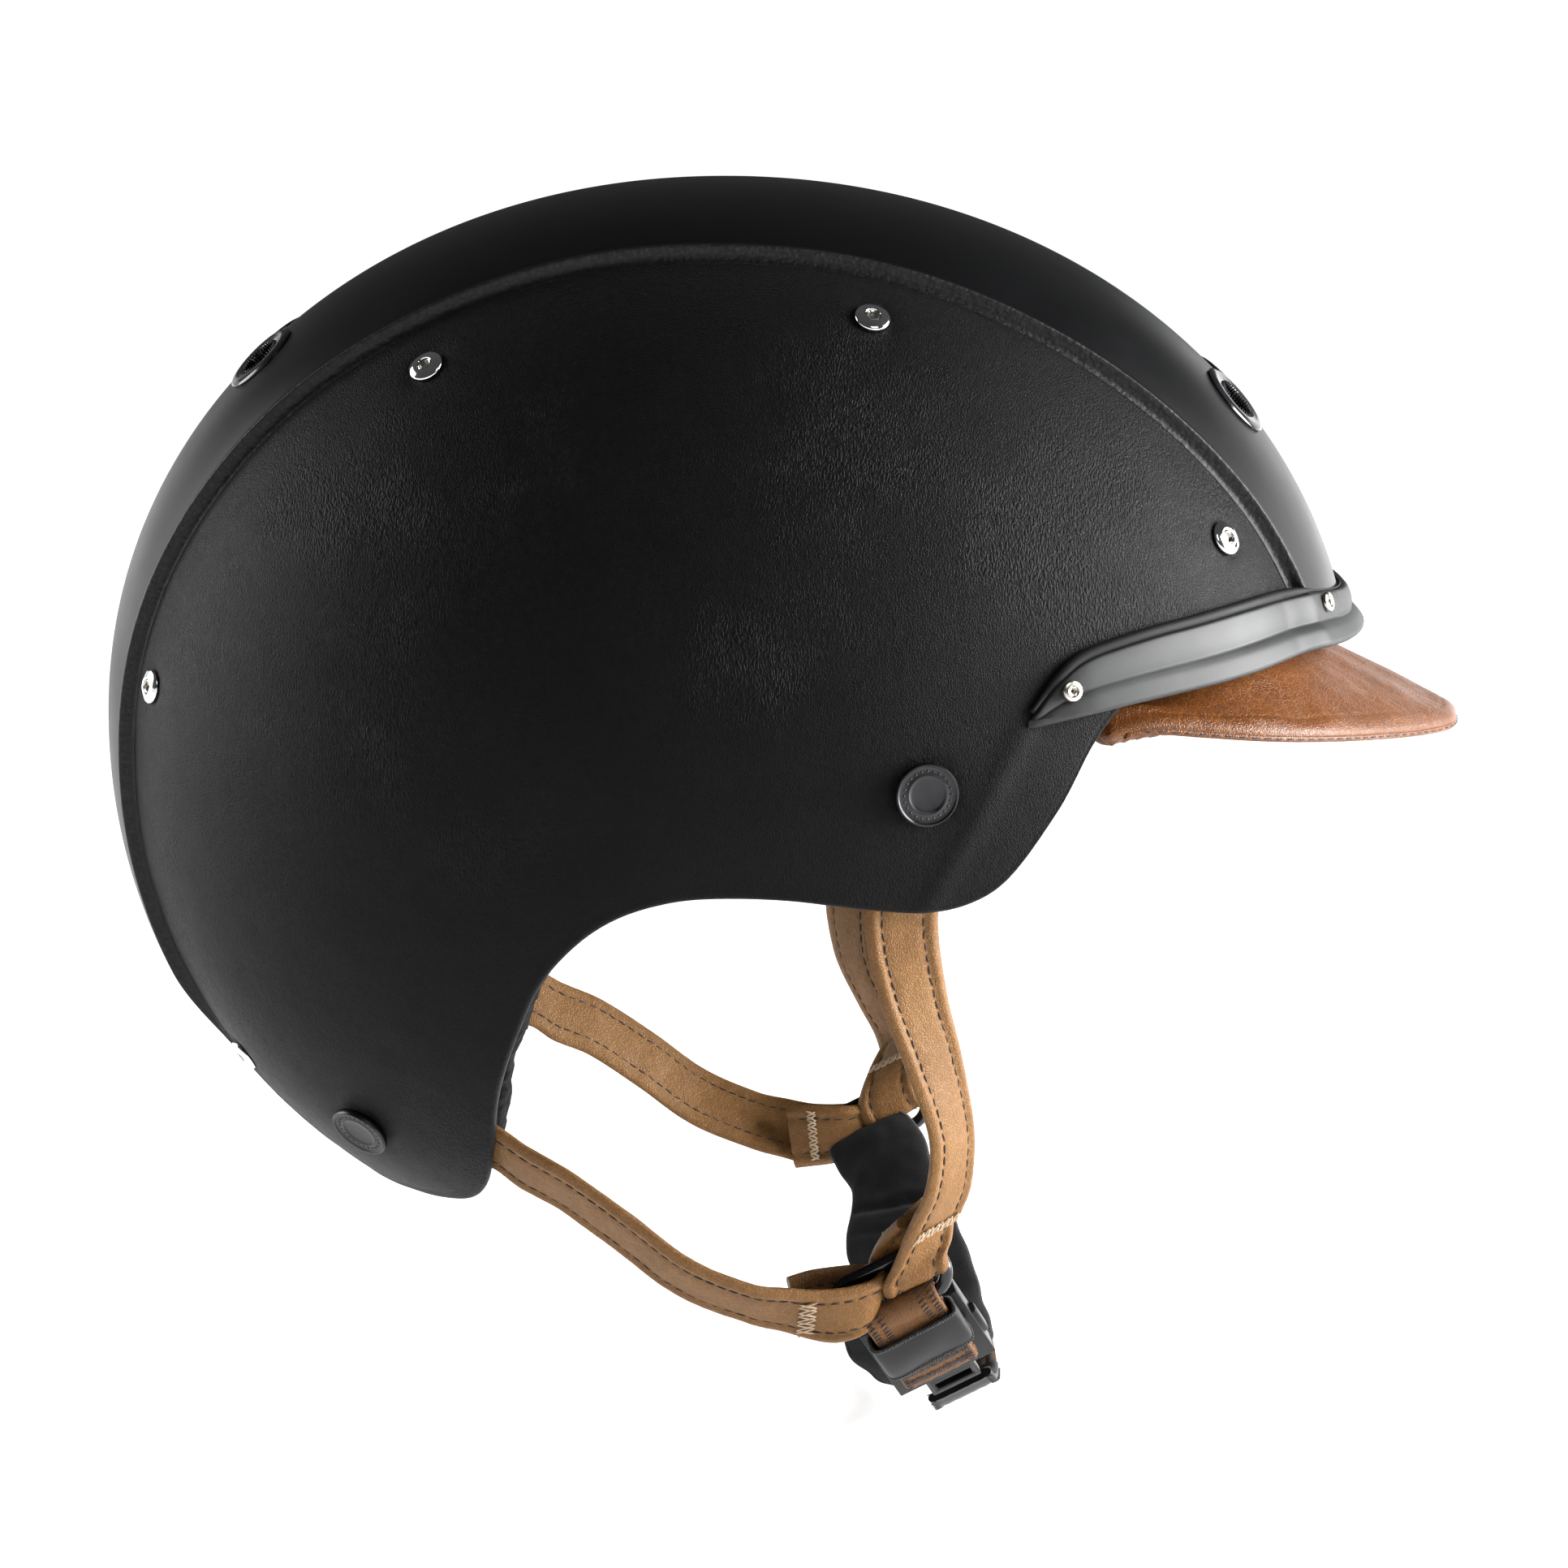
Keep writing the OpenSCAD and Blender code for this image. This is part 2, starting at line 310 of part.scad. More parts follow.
// ---- nape cradle ----
hinge_p = [-91, 0, -57]; pin_r = 1.5;
module cradle_hanger() color([.07, .07, .07]) {
  difference() {
    union() {
      translate([-96.2, -18, -53.6]) cube([2.4, 36, 22.6]);
      for (y = [-18, 14.2]) translate([-96.2, y, -61]) cube([8.6, 3.8, 9]);
    }
    translate([hinge_p.x, 0, hinge_p.z]) rotate([90, 0, 0]) cylinder(h = 60, r = pin_r, center = true, $fn = 32);
  }
  for (y = [-10, 10]) translate([-108, y, -42]) rotate([0, 90, 0]) cylinder(h = 11.4, r = 3, $fn = 24);
}
module cradle_pin() color([.6, .6, .6]) translate(hinge_p) rotate([90, 0, 0]) cylinder(h = 38, r = pin_r, center = true, $fn = 32);
module cradle_yoke() color([.08, .08, .08]) difference() {
  union() {
    translate(hinge_p) rotate([90, 0, 0]) cylinder(h = 27.6, r = 3, center = true, $fn = 32);
    translate([-92.2, -13.8, -79.8]) cube([2.6, 27.6, 23]);
    translate([-92.2, -24, -79.8]) cube([9.2, 48, 2.6]);
  }
  translate(hinge_p) rotate([90, 0, 0]) cylinder(h = 60, r = pin_r + 0.05, center = true, $fn = 32);
}
gz = -91;
module gear_housing() color([.08, .08, .08]) difference() {
  translate([-89.4, -27, gz - 11]) cube([7.2, 54, 22]);
  translate([-87.2, -30, gz - 8.1]) cube([3, 60, 16.2]);
  translate([-95, 0, gz]) rotate([0, 90, 0]) cylinder(h = 9, r = 2.56, $fn = 36);
}
module adjuster_dial() color([.1, .1, .1]) translate([0, 0, gz]) rotate([0, 90, 0]) translate([0, 0, -94]) {
  difference() {
    cylinder(h = 4.2, r = dial_r, $fn = 72);
    for (k = [0:11]) rotate([0, 0, 30 * k]) translate([dial_r + 0.7, 0, -1]) cylinder(h = 7, r = 1.5, $fn = 20);
  }
  translate([0, 0, 4]) cylinder(h = 2.9, r = 2.5, $fn = 36);
}
module drive_pinion() color([.7, .7, .65]) translate([-87, 0, gz]) rotate([0, 90, 0]) {
  cylinder(h = 2.6, r = pinion_r - 0.9, $fn = 36);
  for (k = [0:9]) rotate([0, 0, 36 * k]) translate([pinion_r - 1.4, -0.32, 0]) cube([2.1, 0.64, 2.6]);
}
// rack on the right arm runs above the pinion, the left one below
module rack(s) {
  pitch = 2 * PI * pinion_r / 10;
  translate([-87, s > 0 ? -34 : -11, s > 0 ? gz + 4.9 : gz - 8]) cube([2.6, 45, 3.1]);
  for (k = [-4:4]) translate([-87, (k + 0.5) * pitch - 0.32, s > 0 ? gz + 3.4 : gz - 5]) cube([2.6, 0.64, 1.6]);
}
module wing(s) translate([-87, s > 0 ? -41.5 : 33.5, gz - 8]) cube([2.6, 8, 16]);
module rack_arm_right() color([.09, .09, .09]) { rack(1); wing(1); }
module rack_arm_left() color([.09, .09, .09]) { rack(-1); wing(-1); }
module arm_pad_right() color([.05, .05, .05]) translate([-84.2, -42.8, gz - 9]) cube([6, 9, 18]);
module arm_pad_left() color([.05, .05, .05]) translate([-84.2, 33.8, gz - 9]) cube([6, 9, 18]);
module nape_pad() color([.05, .05, .05]) translate([-82, -24, -103]) cube([5.6, 48, 40]);

// ---- peak ----
brim_T = [[0,169,-13.9],[5,166.8,-13.8],[10,160.5,-13],[16,153.3,-11.3],[24,145,-8.9],[31,137,-6.7],[37,128.2,-4.6],[41.5,121.6,-3.4],[45,116.6,-4.9]];
root_T = [[0,129,1.9],[14,129.5,1.5],[24,127,0.4],[34,119,-1.4],[40,112,-2.8],[45,107,-5.2]];
module peak_leather() {
  n = 28; m = 6;
  function q(f, v, k) = let(g = abs(f), r = her(root_T, g, 1) + (her(brim_T, g, 1) - her(root_T, g, 1)) * v,
    z = her(root_T, g, 2) + (her(brim_T, g, 2) - her(root_T, g, 2)) * v, h = 1.9 - 0.9 * v * v * v)
    [r * cos(f), -r * sin(f), z + (k == 0 ? h : -h)];
  color([.45, .24, .13]) slab([for (i = [0:n]) [for (j = [0:m]) q(-45 + 90 * i / n, 1 - j / m, 0)]], [for (i = [0:n]) [for (j = [0:m]) q(-45 + 90 * i / n, 1 - j / m, 1)]]);
}
module peak_tongue() color([.05, .05, .05]) {
  translate([110, -27, 0.4]) cube([15, 54, 3]);
  translate([124, -12, 0.4]) cube([4.6, 24, 3]);
}

center_shell();
side_shell_right();
side_shell_left();
eps_liner();
brow_trim();
trim_gasket();
trim_screws();
vent_grommets();
shell_rivets();
strap_snap_caps();
strap_studs();
peak_socket();
brow_pad();
crown_pad();
side_pads();
neck_pad_right();
neck_pad_left();
front_strap_right();
front_strap_left();
rear_strap_right();
rear_strap_left();
strap_loops_right();
strap_loops_left();
cradle_hanger();
cradle_pin();
cradle_yoke();
gear_housing();
nape_pad();
adjuster_dial();
drive_pinion();
rack_arm_right();
arm_pad_right();
rack_arm_left();
arm_pad_left();
peak_leather();
peak_tongue();
strap_ring_right();
strap_ring_left();
chin_webbing_right();
chin_webbing_left();
chin_pad();
webbing_keeper();
buckle_housing();
buckle_cover();
buckle_tongue();
buckle_button();
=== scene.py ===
# Riding and city helmet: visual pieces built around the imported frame.
# Lengths below are millimetres, +X front, +Y left, +Z up, and they become metres when a mesh is made.
import math
import bpy, bmesh
import numpy as np
from mathutils import Vector, Matrix


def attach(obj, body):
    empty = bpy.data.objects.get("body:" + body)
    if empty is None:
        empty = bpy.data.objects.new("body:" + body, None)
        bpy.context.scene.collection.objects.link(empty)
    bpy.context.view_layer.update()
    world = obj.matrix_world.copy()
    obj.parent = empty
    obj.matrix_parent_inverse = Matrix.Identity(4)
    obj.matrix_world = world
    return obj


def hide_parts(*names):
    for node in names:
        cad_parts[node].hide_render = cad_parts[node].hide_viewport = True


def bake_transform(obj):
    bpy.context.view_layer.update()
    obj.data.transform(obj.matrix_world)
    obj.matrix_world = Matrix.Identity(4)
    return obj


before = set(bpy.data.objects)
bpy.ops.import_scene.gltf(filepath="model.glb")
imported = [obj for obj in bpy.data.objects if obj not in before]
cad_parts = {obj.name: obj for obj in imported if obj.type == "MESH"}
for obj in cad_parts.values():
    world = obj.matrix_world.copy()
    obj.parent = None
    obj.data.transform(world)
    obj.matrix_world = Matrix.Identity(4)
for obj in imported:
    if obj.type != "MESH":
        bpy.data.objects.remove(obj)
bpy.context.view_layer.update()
scene = bpy.context.scene

# ------------------------------------------------------------------ camera
E = math.radians(11.0)
TGT = np.array([13.4, 0.0, -31.3])
cam_data = bpy.data.cameras.new("camera")
cam_data.sensor_width = 36
cam_data.sensor_fit = "HORIZONTAL"
cam_data.lens = 5300 / 1932 * 36
cam_data.clip_start = 0.05
cam_data.clip_end = 100
cam = bpy.data.objects.new("camera", cam_data)
scene.collection.objects.link(cam)
cam.location = Vector((TGT + 1000 * np.array([0, -math.cos(E), math.sin(E)])) / 1000)
cam.rotation_euler = (math.pi / 2 - E, 0, 0)
scene.camera = cam

# ------------------------------------------------------------------ surface of the shell
FL, RL, HW, DH, LH, QU, QL, NN, PF, PR, ZC, LIFT = 141.4, 138.8, 103., 120.7, 127.5, .9, .75, 2.15, 2.05, 2.065, -15., 3.
def sm(a, b, x):
    t = np.clip((np.asarray(x, float) - a) / (b - a), 0, 1)
    return t * t * (3 - 2 * t)
def her(T, x, k=1):
    T = np.asarray(T, float); x = np.asarray(x, float)
    X = T[:, 0]; Y = T[:, k]; n = len(X)
    i = np.clip(np.searchsorted(X, x, side="left") - 1, 0, n - 2)
    sl = np.array([(Y[min(j + 1, n - 1)] - Y[max(j - 1, 0)]) / (X[min(j + 1, n - 1)] - X[max(j - 1, 0)]) for j in range(n)])
    h = X[i + 1] - X[i]; t = np.clip((x - X[i]) / h, 0, 1); m0 = sl[i] * h; m1 = sl[i + 1] * h
    return Y[i] * (2*t**3 - 3*t*t + 1) + m0 * (t**3 - 2*t*t + t) + Y[i + 1] * (3*t*t - 2*t**3) + m1 * (t**3 - t*t)
def sfr(z): return np.clip(np.where(z > ZC, (z - ZC) / DH, (ZC - z) / LH), 0, .99995)
def ax(z, x):
    p = np.where((z > ZC) & (x > 0), PF, PR)
    return np.where(x > 0, FL, RL) * (1 - sfr(z)**p)**(1 / p)
def wy(z): return HW * np.sqrt(1 - sfr(z)**2)**np.where(z > ZC, QU, QL)
def P(phi, z):
    phi, z = np.broadcast_arrays(np.asarray(phi, float), np.asarray(z, float))
    c = np.cos(np.radians(phi)); s = np.sin(np.radians(phi))
    r = ((np.abs(c) / ax(z, c))**NN + (np.abs(s) / wy(z))**NN)**(-1 / NN)
    return np.stack([r * c, -r * s, z], -1)
def nrm(p):
    h = np.where(p[..., 2] > ZC, DH, LH); a = np.where(p[..., 0] > 0, FL, RL)
    g = np.stack([p[..., 0] / a**2, p[..., 1] / HW**2, (p[..., 2] - ZC) / h**2], -1)
    return g / np.linalg.norm(g, axis=-1, keepdims=True)
def S(phi, z, off=0.):
    p = P(phi, z)
    return p + np.asarray(off, float)[..., None] * nrm(p)
def inside(p):
    x, y, z = p[..., 0], p[..., 1], p[..., 2]
    return (z < ZC + DH) & (z > ZC - LH) & ((np.abs(x) / ax(z, x))**NN + (np.abs(y) / wy(z))**NN < 1)
def C(a, y, off=0.):
    a, y = np.broadcast_arrays(np.asarray(a, float), np.asarray(y, float))
    ca = np.cos(np.radians(a)); sa = np.sin(np.radians(a))
    lo = np.full(a.shape, 20.); hi = np.full(a.shape, 190.)
    for _ in range(30):
        m = (lo + hi) / 2; q = inside(np.stack([m * ca, y, ZC + m * sa], -1))
        lo = np.where(q, m, lo); hi = np.where(q, hi, m)
    r = (lo + hi) / 2; p = np.stack([r * ca, y, ZC + r * sa], -1)
    return p + np.asarray(off, float)[..., None] * nrm(p)

edge_T = [[0,8],[36,7],[44,2],[48,-6],[52,-20],[57,-34],[61,-39],[66,-40.5],[74,-39],[82,-37],[90,-36.5],[96,-37.5],
  [102,-41],[107,-47],[112,-57],[116,-70],[120,-84],[124,-99],[129,-110],[136,-115.5],[150,-117],[165,-116.5],[180,-116]]
groove_T = [[8,40.5],[14,42],[18,43.2],[24,45],[30,47],[37,48.8],[45,49.9],[55,50.5],[65,50.2],[75,49.7],[90,49.2],[105,48.9],
  [118,49],[128,48.4],[138,46.9],[150,45],[158,42.8],[166,40],[174,37.2],[182,34.7],[190,32],[205,28],[220,25],[236,23]]
side_T = [[0,13,17.8],[.1,30,32],[.2,50,46],[.3,68,57],[.4,84,70],[.5,98,86],[.6,112,100],[.7,128,110],[.8,150,119],[.9,185,130],[1,228.5,165]]
foam_T = [[0,18],[30,18],[38,15.5],[46,6.5],[52,-10],[57,-25],[61,-33],[66,-36],[74,-36],[90,-33],[102,-37],[107,-42],
  [112,-48],[118,-56],[126,-64],[140,-70],[180,-72]]
trim_up_T = [[0,15.5],[8,16.5],[22,19],[38,16.2],[45.6,13.5],[49.4,11],[52.4,6.4],[55.2,0.3]]
trim_lo_T = [[0,6.6],[14,7],[22,7.3],[34,4.9],[44,2.7],[52,0.2],[55.2,-1.2]]
rivet_at = [[62.1,81.9],[136.7,71.4],[26.9,33.8],[160.4,-0.6],[163.5,-87.7]]
cap_at = [[66.6,-14.1],[143.1,-97]]
screw_at = [[50.8,5.9],[16.3,16]]
vent_at = [[33,17],[141,18]]
def raise_(a): return LIFT * (1 - 0.88 * sm(203, 214, a))

# ------------------------------------------------------------------ numbers helpers
rng = np.random.default_rng(7)
def unit(v): return v / np.maximum(np.linalg.norm(v, axis=-1, keepdims=True), 1e-12)
def waves(p, scale, n=24, seed=1):
    "smooth repeatable noise of about -1..1 at points p (mm), features of about `scale` mm"
    r = np.random.default_rng(seed); p = np.asarray(p, float); out = np.zeros(p.shape[:-1])
    for _ in range(n):
        d = unit(r.normal(size=3)); f = 2 * math.pi / scale * r.uniform(.5, 1.6)
        out = out + np.sin(p @ d * f + r.uniform(0, 6.283))
    return out / math.sqrt(n / 2) / 1.6

class Build:
    "collects quads and triangles with a material index"
    def __init__(s): s.V = []; s.Q = []; s.T = []; s.mq = []; s.mt = []; s.n = 0
    def add(s, V, Q=(), T=(), m=0):
        V = np.asarray(V, float).reshape(-1, 3); Q = np.asarray(Q, int).reshape(-1, 4); T = np.asarray(T, int).reshape(-1, 3)
        s.V.append(V); s.Q.append(Q + s.n); s.T.append(T + s.n)
        s.mq.append(np.full(len(Q), m)); s.mt.append(np.full(len(T), m)); s.n += len(V)
        return s
    def grid(s, G, m=0, cu=False, cv=False):
        "G is (n, m, 3); cu and cv close it"
        a, b = G.shape[:2]
        i = np.arange(a if cu else a - 1)[:, None]; j = np.arange(b if cv else b - 1)[None]
        i2 = (i + 1) % a; j2 = (j + 1) % b
        Q = np.stack(np.broadcast_arrays(i * b + j, i2 * b + j, i2 * b + j2, i * b + j2), -1).reshape(-1, 4)
        return s.add(G.reshape(-1, 3), Q, m=m)
    def tube(s, G, m=0, caps=True):
        "rings of points, closed round, capped at both ends"
        s.grid(G, m, cv=True)
        if caps:
            for R, flip in ((G[0], False), (G[-1], True)):
                k = len(R); V = np.vstack([R, R.mean(0)]); j = np.arange(k)
                T = np.stack([j, (j + 1) % k, np.full(k, k)], -1)
                s.add(V, T=T[:, ::-1] if flip else T, m=m)
        return s
    def mesh(s, name, mats, smooth=True, weld=True, sharp=None):
        V = np.vstack(s.V) / 1000; Q = np.vstack(s.Q); T = np.vstack(s.T)
        me = bpy.data.meshes.new(name)
        me.vertices.add(len(V)); me.vertices.foreach_set("co", V.astype(np.float32).ravel())
        L = np.concatenate([Q.ravel(), T.ravel()]).astype(np.int32)
        me.loops.add(len(L)); me.loops.foreach_set("vertex_index", L)
        st = np.concatenate([np.arange(len(Q)) * 4, 4 * len(Q) + np.arange(len(T)) * 3]).astype(np.int32)
        me.polygons.add(len(st)); me.polygons.foreach_set("loop_start", st)
        mi = np.concatenate([np.concatenate(s.mq), np.concatenate(s.mt)]).astype(np.int32)
        me.polygons.foreach_set("material_index", mi)
        me.polygons.foreach_set("use_smooth", np.full(len(st), smooth))
        me.update(calc_edges=True)
        for m in mats: me.materials.append(m)
        o = bpy.data.objects.new(name, me); scene.collection.objects.link(o)
        bm = bmesh.new(); bm.from_mesh(me)
        if weld:
            bmesh.ops.remove_doubles(bm, verts=bm.verts, dist=2e-6)
            bmesh.ops.dissolve_degenerate(bm, dist=1e-7, edges=bm.edges)
        bmesh.ops.recalc_face_normals(bm, faces=bm.faces)
        bm.to_mesh(me); bm.free()
        if sharp is not None: me.set_sharp_from_angle(angle=math.radians(sharp))
        return o

def done(o, body, slot, *nodes):
    if body is not None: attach(o, body)
    if nodes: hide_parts(*nodes)
    return o
def apply_mods(o):
    dg = bpy.context.evaluated_depsgraph_get(); dg.update()
    me = bpy.data.meshes.new_from_object(o.evaluated_get(dg), preserve_all_data_layers=True, depsgraph=dg)
    old = o.data; o.modifiers.clear(); o.data = me
    if old.users == 0: bpy.data.meshes.remove(old)
    return o
def mirrored(o, name):
    "a copy mirrored to the other side"
    me = o.data.copy(); me.name = name
    n = len(me.vertices); co = np.empty(n * 3, np.float32); me.vertices.foreach_get("co", co)
    co = co.reshape(-1, 3); co[:, 1] *= -1; me.vertices.foreach_set("co", co.ravel())
    me.flip_normals(); me.update()
    q = bpy.data.objects.new(name, me); scene.collection.objects.link(q)
    return q
def cut(o, cutters, solver="EXACT"):
    for c in cutters:
        m = o.modifiers.new("cut", "BOOLEAN"); m.operation = "DIFFERENCE"; m.object = c; m.solver = solver
    apply_mods(o)
    for c in cutters: bpy.data.objects.remove(c)
    return o
def cyl_obj(p, n, r, h, seg=48):
    n = unit(np.asarray(n, float)); a = unit(np.cross(n, [0, 0, 1.] if abs(n[2]) < .9 else [1., 0, 0])); b = np.cross(n, a)
    t = np.linspace(0, 2 * math.pi, seg, endpoint=False)
    R = np.cos(t)[:, None] * a + np.sin(t)[:, None] * b
    G = np.stack([p + r * R - n * h / 2, p + r * R + n * h / 2])
    return Build().tube(G).mesh("cutter", [])

# ------------------------------------------------------------------ materials
class Mat:
    def __init__(s, name, color, rough=.5, metal=0., spec=.5, **kw):
        s.m = bpy.data.materials.new(name); s.m.use_nodes = True; s.t = s.m.node_tree; s.b = s.t.nodes["Principled BSDF"]
        s.b.inputs["Base Color"].default_value = (*color, 1); s.b.inputs["Roughness"].default_value = rough
        s.b.inputs["Metallic"].default_value = metal; s.b.inputs["Specular IOR Level"].default_value = spec
        for k, v in kw.items(): s.b.inputs[k.replace("_", " ")].default_value = v
        s.m.diffuse_color = (*color, 1)
        s.normal = None
        s.co = s.t.nodes.new("ShaderNodeTexCoord").outputs["Object"]
    def node(s, kind, **kw):
        n = s.t.nodes.new(kind)
        for k, v in kw.items(): setattr(n, k, v)
        return n
    def _in(s, sock, v):
        if isinstance(v, bpy.types.NodeSocket): s.t.links.new(v, sock)
        else: sock.default_value = v
    def map(s, scale=(1, 1, 1), rot=(0, 0, 0), loc=(0, 0, 0), vec=None):
        n = s.node("ShaderNodeMapping"); s._in(n.inputs["Vector"], vec or s.co)
        n.inputs["Scale"].default_value = scale; n.inputs["Rotation"].default_value = rot; n.inputs["Location"].default_value = loc
        return n.outputs[0]
    def noise(s, scale, detail=2., rough=.5, dist=0., vec=None, out="Fac"):
        n = s.node("ShaderNodeTexNoise"); s._in(n.inputs["Vector"], vec or s.co)
        for k, v in (("Scale", scale), ("Detail", detail), ("Roughness", rough), ("Distortion", dist)): n.inputs[k].default_value = v
        return n.outputs[out]
    def voro(s, scale, feature="F1", rand=1., vec=None, out="Distance", smooth=None):
        n = s.node("ShaderNodeTexVoronoi", feature=feature); s._in(n.inputs["Vector"], vec or s.co)
        n.inputs["Scale"].default_value = scale; n.inputs["Randomness"].default_value = rand
        if smooth is not None: n.inputs["Smoothness"].default_value = smooth
        return n.outputs[out]
    def wave(s, scale, vec=None, direction="X", dist=0., dscale=1., kind="BANDS", profile="SIN"):
        n = s.node("ShaderNodeTexWave", wave_type=kind, bands_direction=direction, wave_profile=profile); s._in(n.inputs["Vector"], vec or s.co)
        n.inputs["Scale"].default_value = scale; n.inputs["Distortion"].default_value = dist; n.inputs["Detail Scale"].default_value = dscale
        return n.outputs["Fac"]
    def math(s, op, a, b=0., c=None, clamp=False):
        n = s.node("ShaderNodeMath", operation=op, use_clamp=clamp); s._in(n.inputs[0], a); s._in(n.inputs[1], b)
        if c is not None: s._in(n.inputs[2], c)
        return n.outputs[0]
    def warp(s, amount, scale, vec=None, detail=2.):
        "coordinates pushed about by noise, amount in metres"
        c = s.node("ShaderNodeTexNoise"); s._in(c.inputs["Vector"], vec or s.co); c.inputs["Scale"].default_value = scale; c.inputs["Detail"].default_value = detail
        a = s.node("ShaderNodeVectorMath", operation="SUBTRACT"); s._in(a.inputs[0], c.outputs["Color"]); a.inputs[1].default_value = (.5, .5, .5)
        b = s.node("ShaderNodeVectorMath", operation="SCALE"); s._in(b.inputs[0], a.outputs[0]); b.inputs["Scale"].default_value = amount
        d = s.node("ShaderNodeVectorMath", operation="ADD"); s._in(d.inputs[0], vec or s.co); s._in(d.inputs[1], b.outputs[0])
        return d.outputs[0]
    def ramp(s, fac, stops, interp="LINEAR"):
        n = s.node("ShaderNodeValToRGB"); s._in(n.inputs[0], fac); r = n.color_ramp; r.interpolation = interp
        while len(r.elements) > len(stops): r.elements.remove(r.elements[-1])
        while len(r.elements) < len(stops): r.elements.new(1.)
        for e, (p, c) in zip(r.elements, stops):
            e.position = p; e.color = (*c, 1) if hasattr(c, "__len__") else (c, c, c, 1)
        return n.outputs[0]
    def mapr(s, v, a, b, c, d, smooth=False):
        n = s.node("ShaderNodeMapRange", interpolation_type="SMOOTHSTEP" if smooth else "LINEAR"); s._in(n.inputs[0], v)
        for i, x in enumerate((a, b, c, d)): n.inputs[i + 1].default_value = x
        return n.outputs[0]
    def mix(s, fac, a, b, blend="MIX"):
        n = s.node("ShaderNodeMix", data_type="RGBA", blend_type=blend); s._in(n.inputs[0], fac)
        for i, v in ((6, a), (7, b)): s._in(n.inputs[i], v if isinstance(v, bpy.types.NodeSocket) else (*v, 1))
        return n.outputs[2]
    def bump(s, height, dist_mm, strength=1.):
        n = s.node("ShaderNodeBump"); s._in(n.inputs["Height"], height); n.inputs["Distance"].default_value = dist_mm / 1000
        n.inputs["Strength"].default_value = strength
        if s.normal is not None: s.t.links.new(s.normal, n.inputs["Normal"])
        s.normal = n.outputs[0]; s.t.links.new(s.normal, s.b.inputs["Normal"])
        return s
    def color(s, v): s._in(s.b.inputs["Base Color"], v); return s
    def rough(s, v): s._in(s.b.inputs["Roughness"], v); return s

def leather_black():
    m = Mat("side_leather", (.0035, .0035, .0038), .44, spec=.09, Sheen_Weight=.05, Sheen_Roughness=.36)
    w = m.warp(.0008, 560)
    grain = m.voro(1750, "DISTANCE_TO_EDGE", vec=w)
    cells = m.mapr(grain, 0, .22, 0, 1, True)
    # creased zones: grain stretched along a slanting direction
    st = m.map(scale=(1.9, 1, .62), rot=(0, math.radians(28), 0), vec=m.warp(.002, 160))
    crease = m.mapr(m.voro(760, "DISTANCE_TO_EDGE", vec=st), 0, .3, 0, 1, True)
    zone = m.mapr(m.noise(17, 3, .6), .47, .66, 0, 1, True)
    h = m.math("MULTIPLY_ADD", crease, m.math("MULTIPLY_ADD", zone, 1.1, .18), m.math("MULTIPLY", cells, .55))
    h2 = m.math("MULTIPLY_ADD", m.noise(2600, 3, .6), .5, h)
    m.bump(h2, .085)
    m.bump(m.noise(120, 3, .55), .22, .35)
    tint = m.mix(m.mapr(m.noise(28, 4, .6), .35, .7, 0, 1), (.0028, .0028, .0031), (.0042, .0042, .0046))
    m.color(m.mix(m.mapr(cells, 0, 1, .45, 0), tint, (.0014, .0014, .0016)))
    m.rough(m.math("MULTIPLY_ADD", m.noise(300, 3, .5), .12, m.mapr(cells, 0, 1, .47, .40)))
    return m.m
def shell_black():
    m = Mat("shell_black", (.003, .003, .0036), .34, spec=.2)
    m.bump(m.noise(2400, 3, .65), .012)
    m.bump(m.noise(90, 2, .5), .12, .25)
    m.rough(m.mapr(m.noise(40, 4, .6), .3, .7, .33, .40))
    m.color(m.mix(m.mapr(m.noise(60, 3, .5), .3, .7, 0, 1), (.0014, .0015, .0018), (.0022, .0023, .0027)))
    return m.m
def shell_wall(name="shell_wall", lo=(.003, .003, .0031), hi=(.013, .013, .0125)):
    """grained side wall of the centre shell; with darker colours it gives the wall's foot, whose darkness is painted
    shade
    """
    m = Mat(name, hi, .5, spec=.3)
    g = m.voro(900, "SMOOTH_F1", vec=m.warp(.001, 500), smooth=.4)
    m.bump(m.math("MULTIPLY_ADD", m.noise(1500, 4, .6), .8, g), .13)
    m.color(m.mix(m.mapr(g, .1, .7, 0, 1), hi, lo))
    return m.m
def plastic(name, color, rough=.4, grain=.02, scale=1800, **kw):
    m = Mat(name, color, rough, **kw)
    m.bump(m.noise(scale, 4, .6), grain)
    m.bump(m.noise(70, 2, .5), .08, .3)
    d = tuple(c * .75 for c in color); l = tuple(c * 1.25 + .001 for c in color)
    m.color(m.mix(m.mapr(m.noise(110, 4, .6), .35, .65, 0, 1), d, l))
    m.rough(m.mapr(m.noise(55, 4, .6), .3, .7, rough - .05, rough + .06))
    return m.m
def metal(name, color, rough=.18, scratch=.006):
    m = Mat(name, color, rough, metal=1.)
    m.bump(m.noise(900, 5, .6, vec=m.map(scale=(1, 1, 6))), scratch)
    m.rough(m.mapr(m.noise(260, 4, .6), .3, .75, max(rough - .06, .03), rough + .1))
    m.color(m.mix(m.mapr(m.noise(140, 3, .6), .35, .7, 0, 1), color, tuple(c * .82 for c in color)))
    return m.m
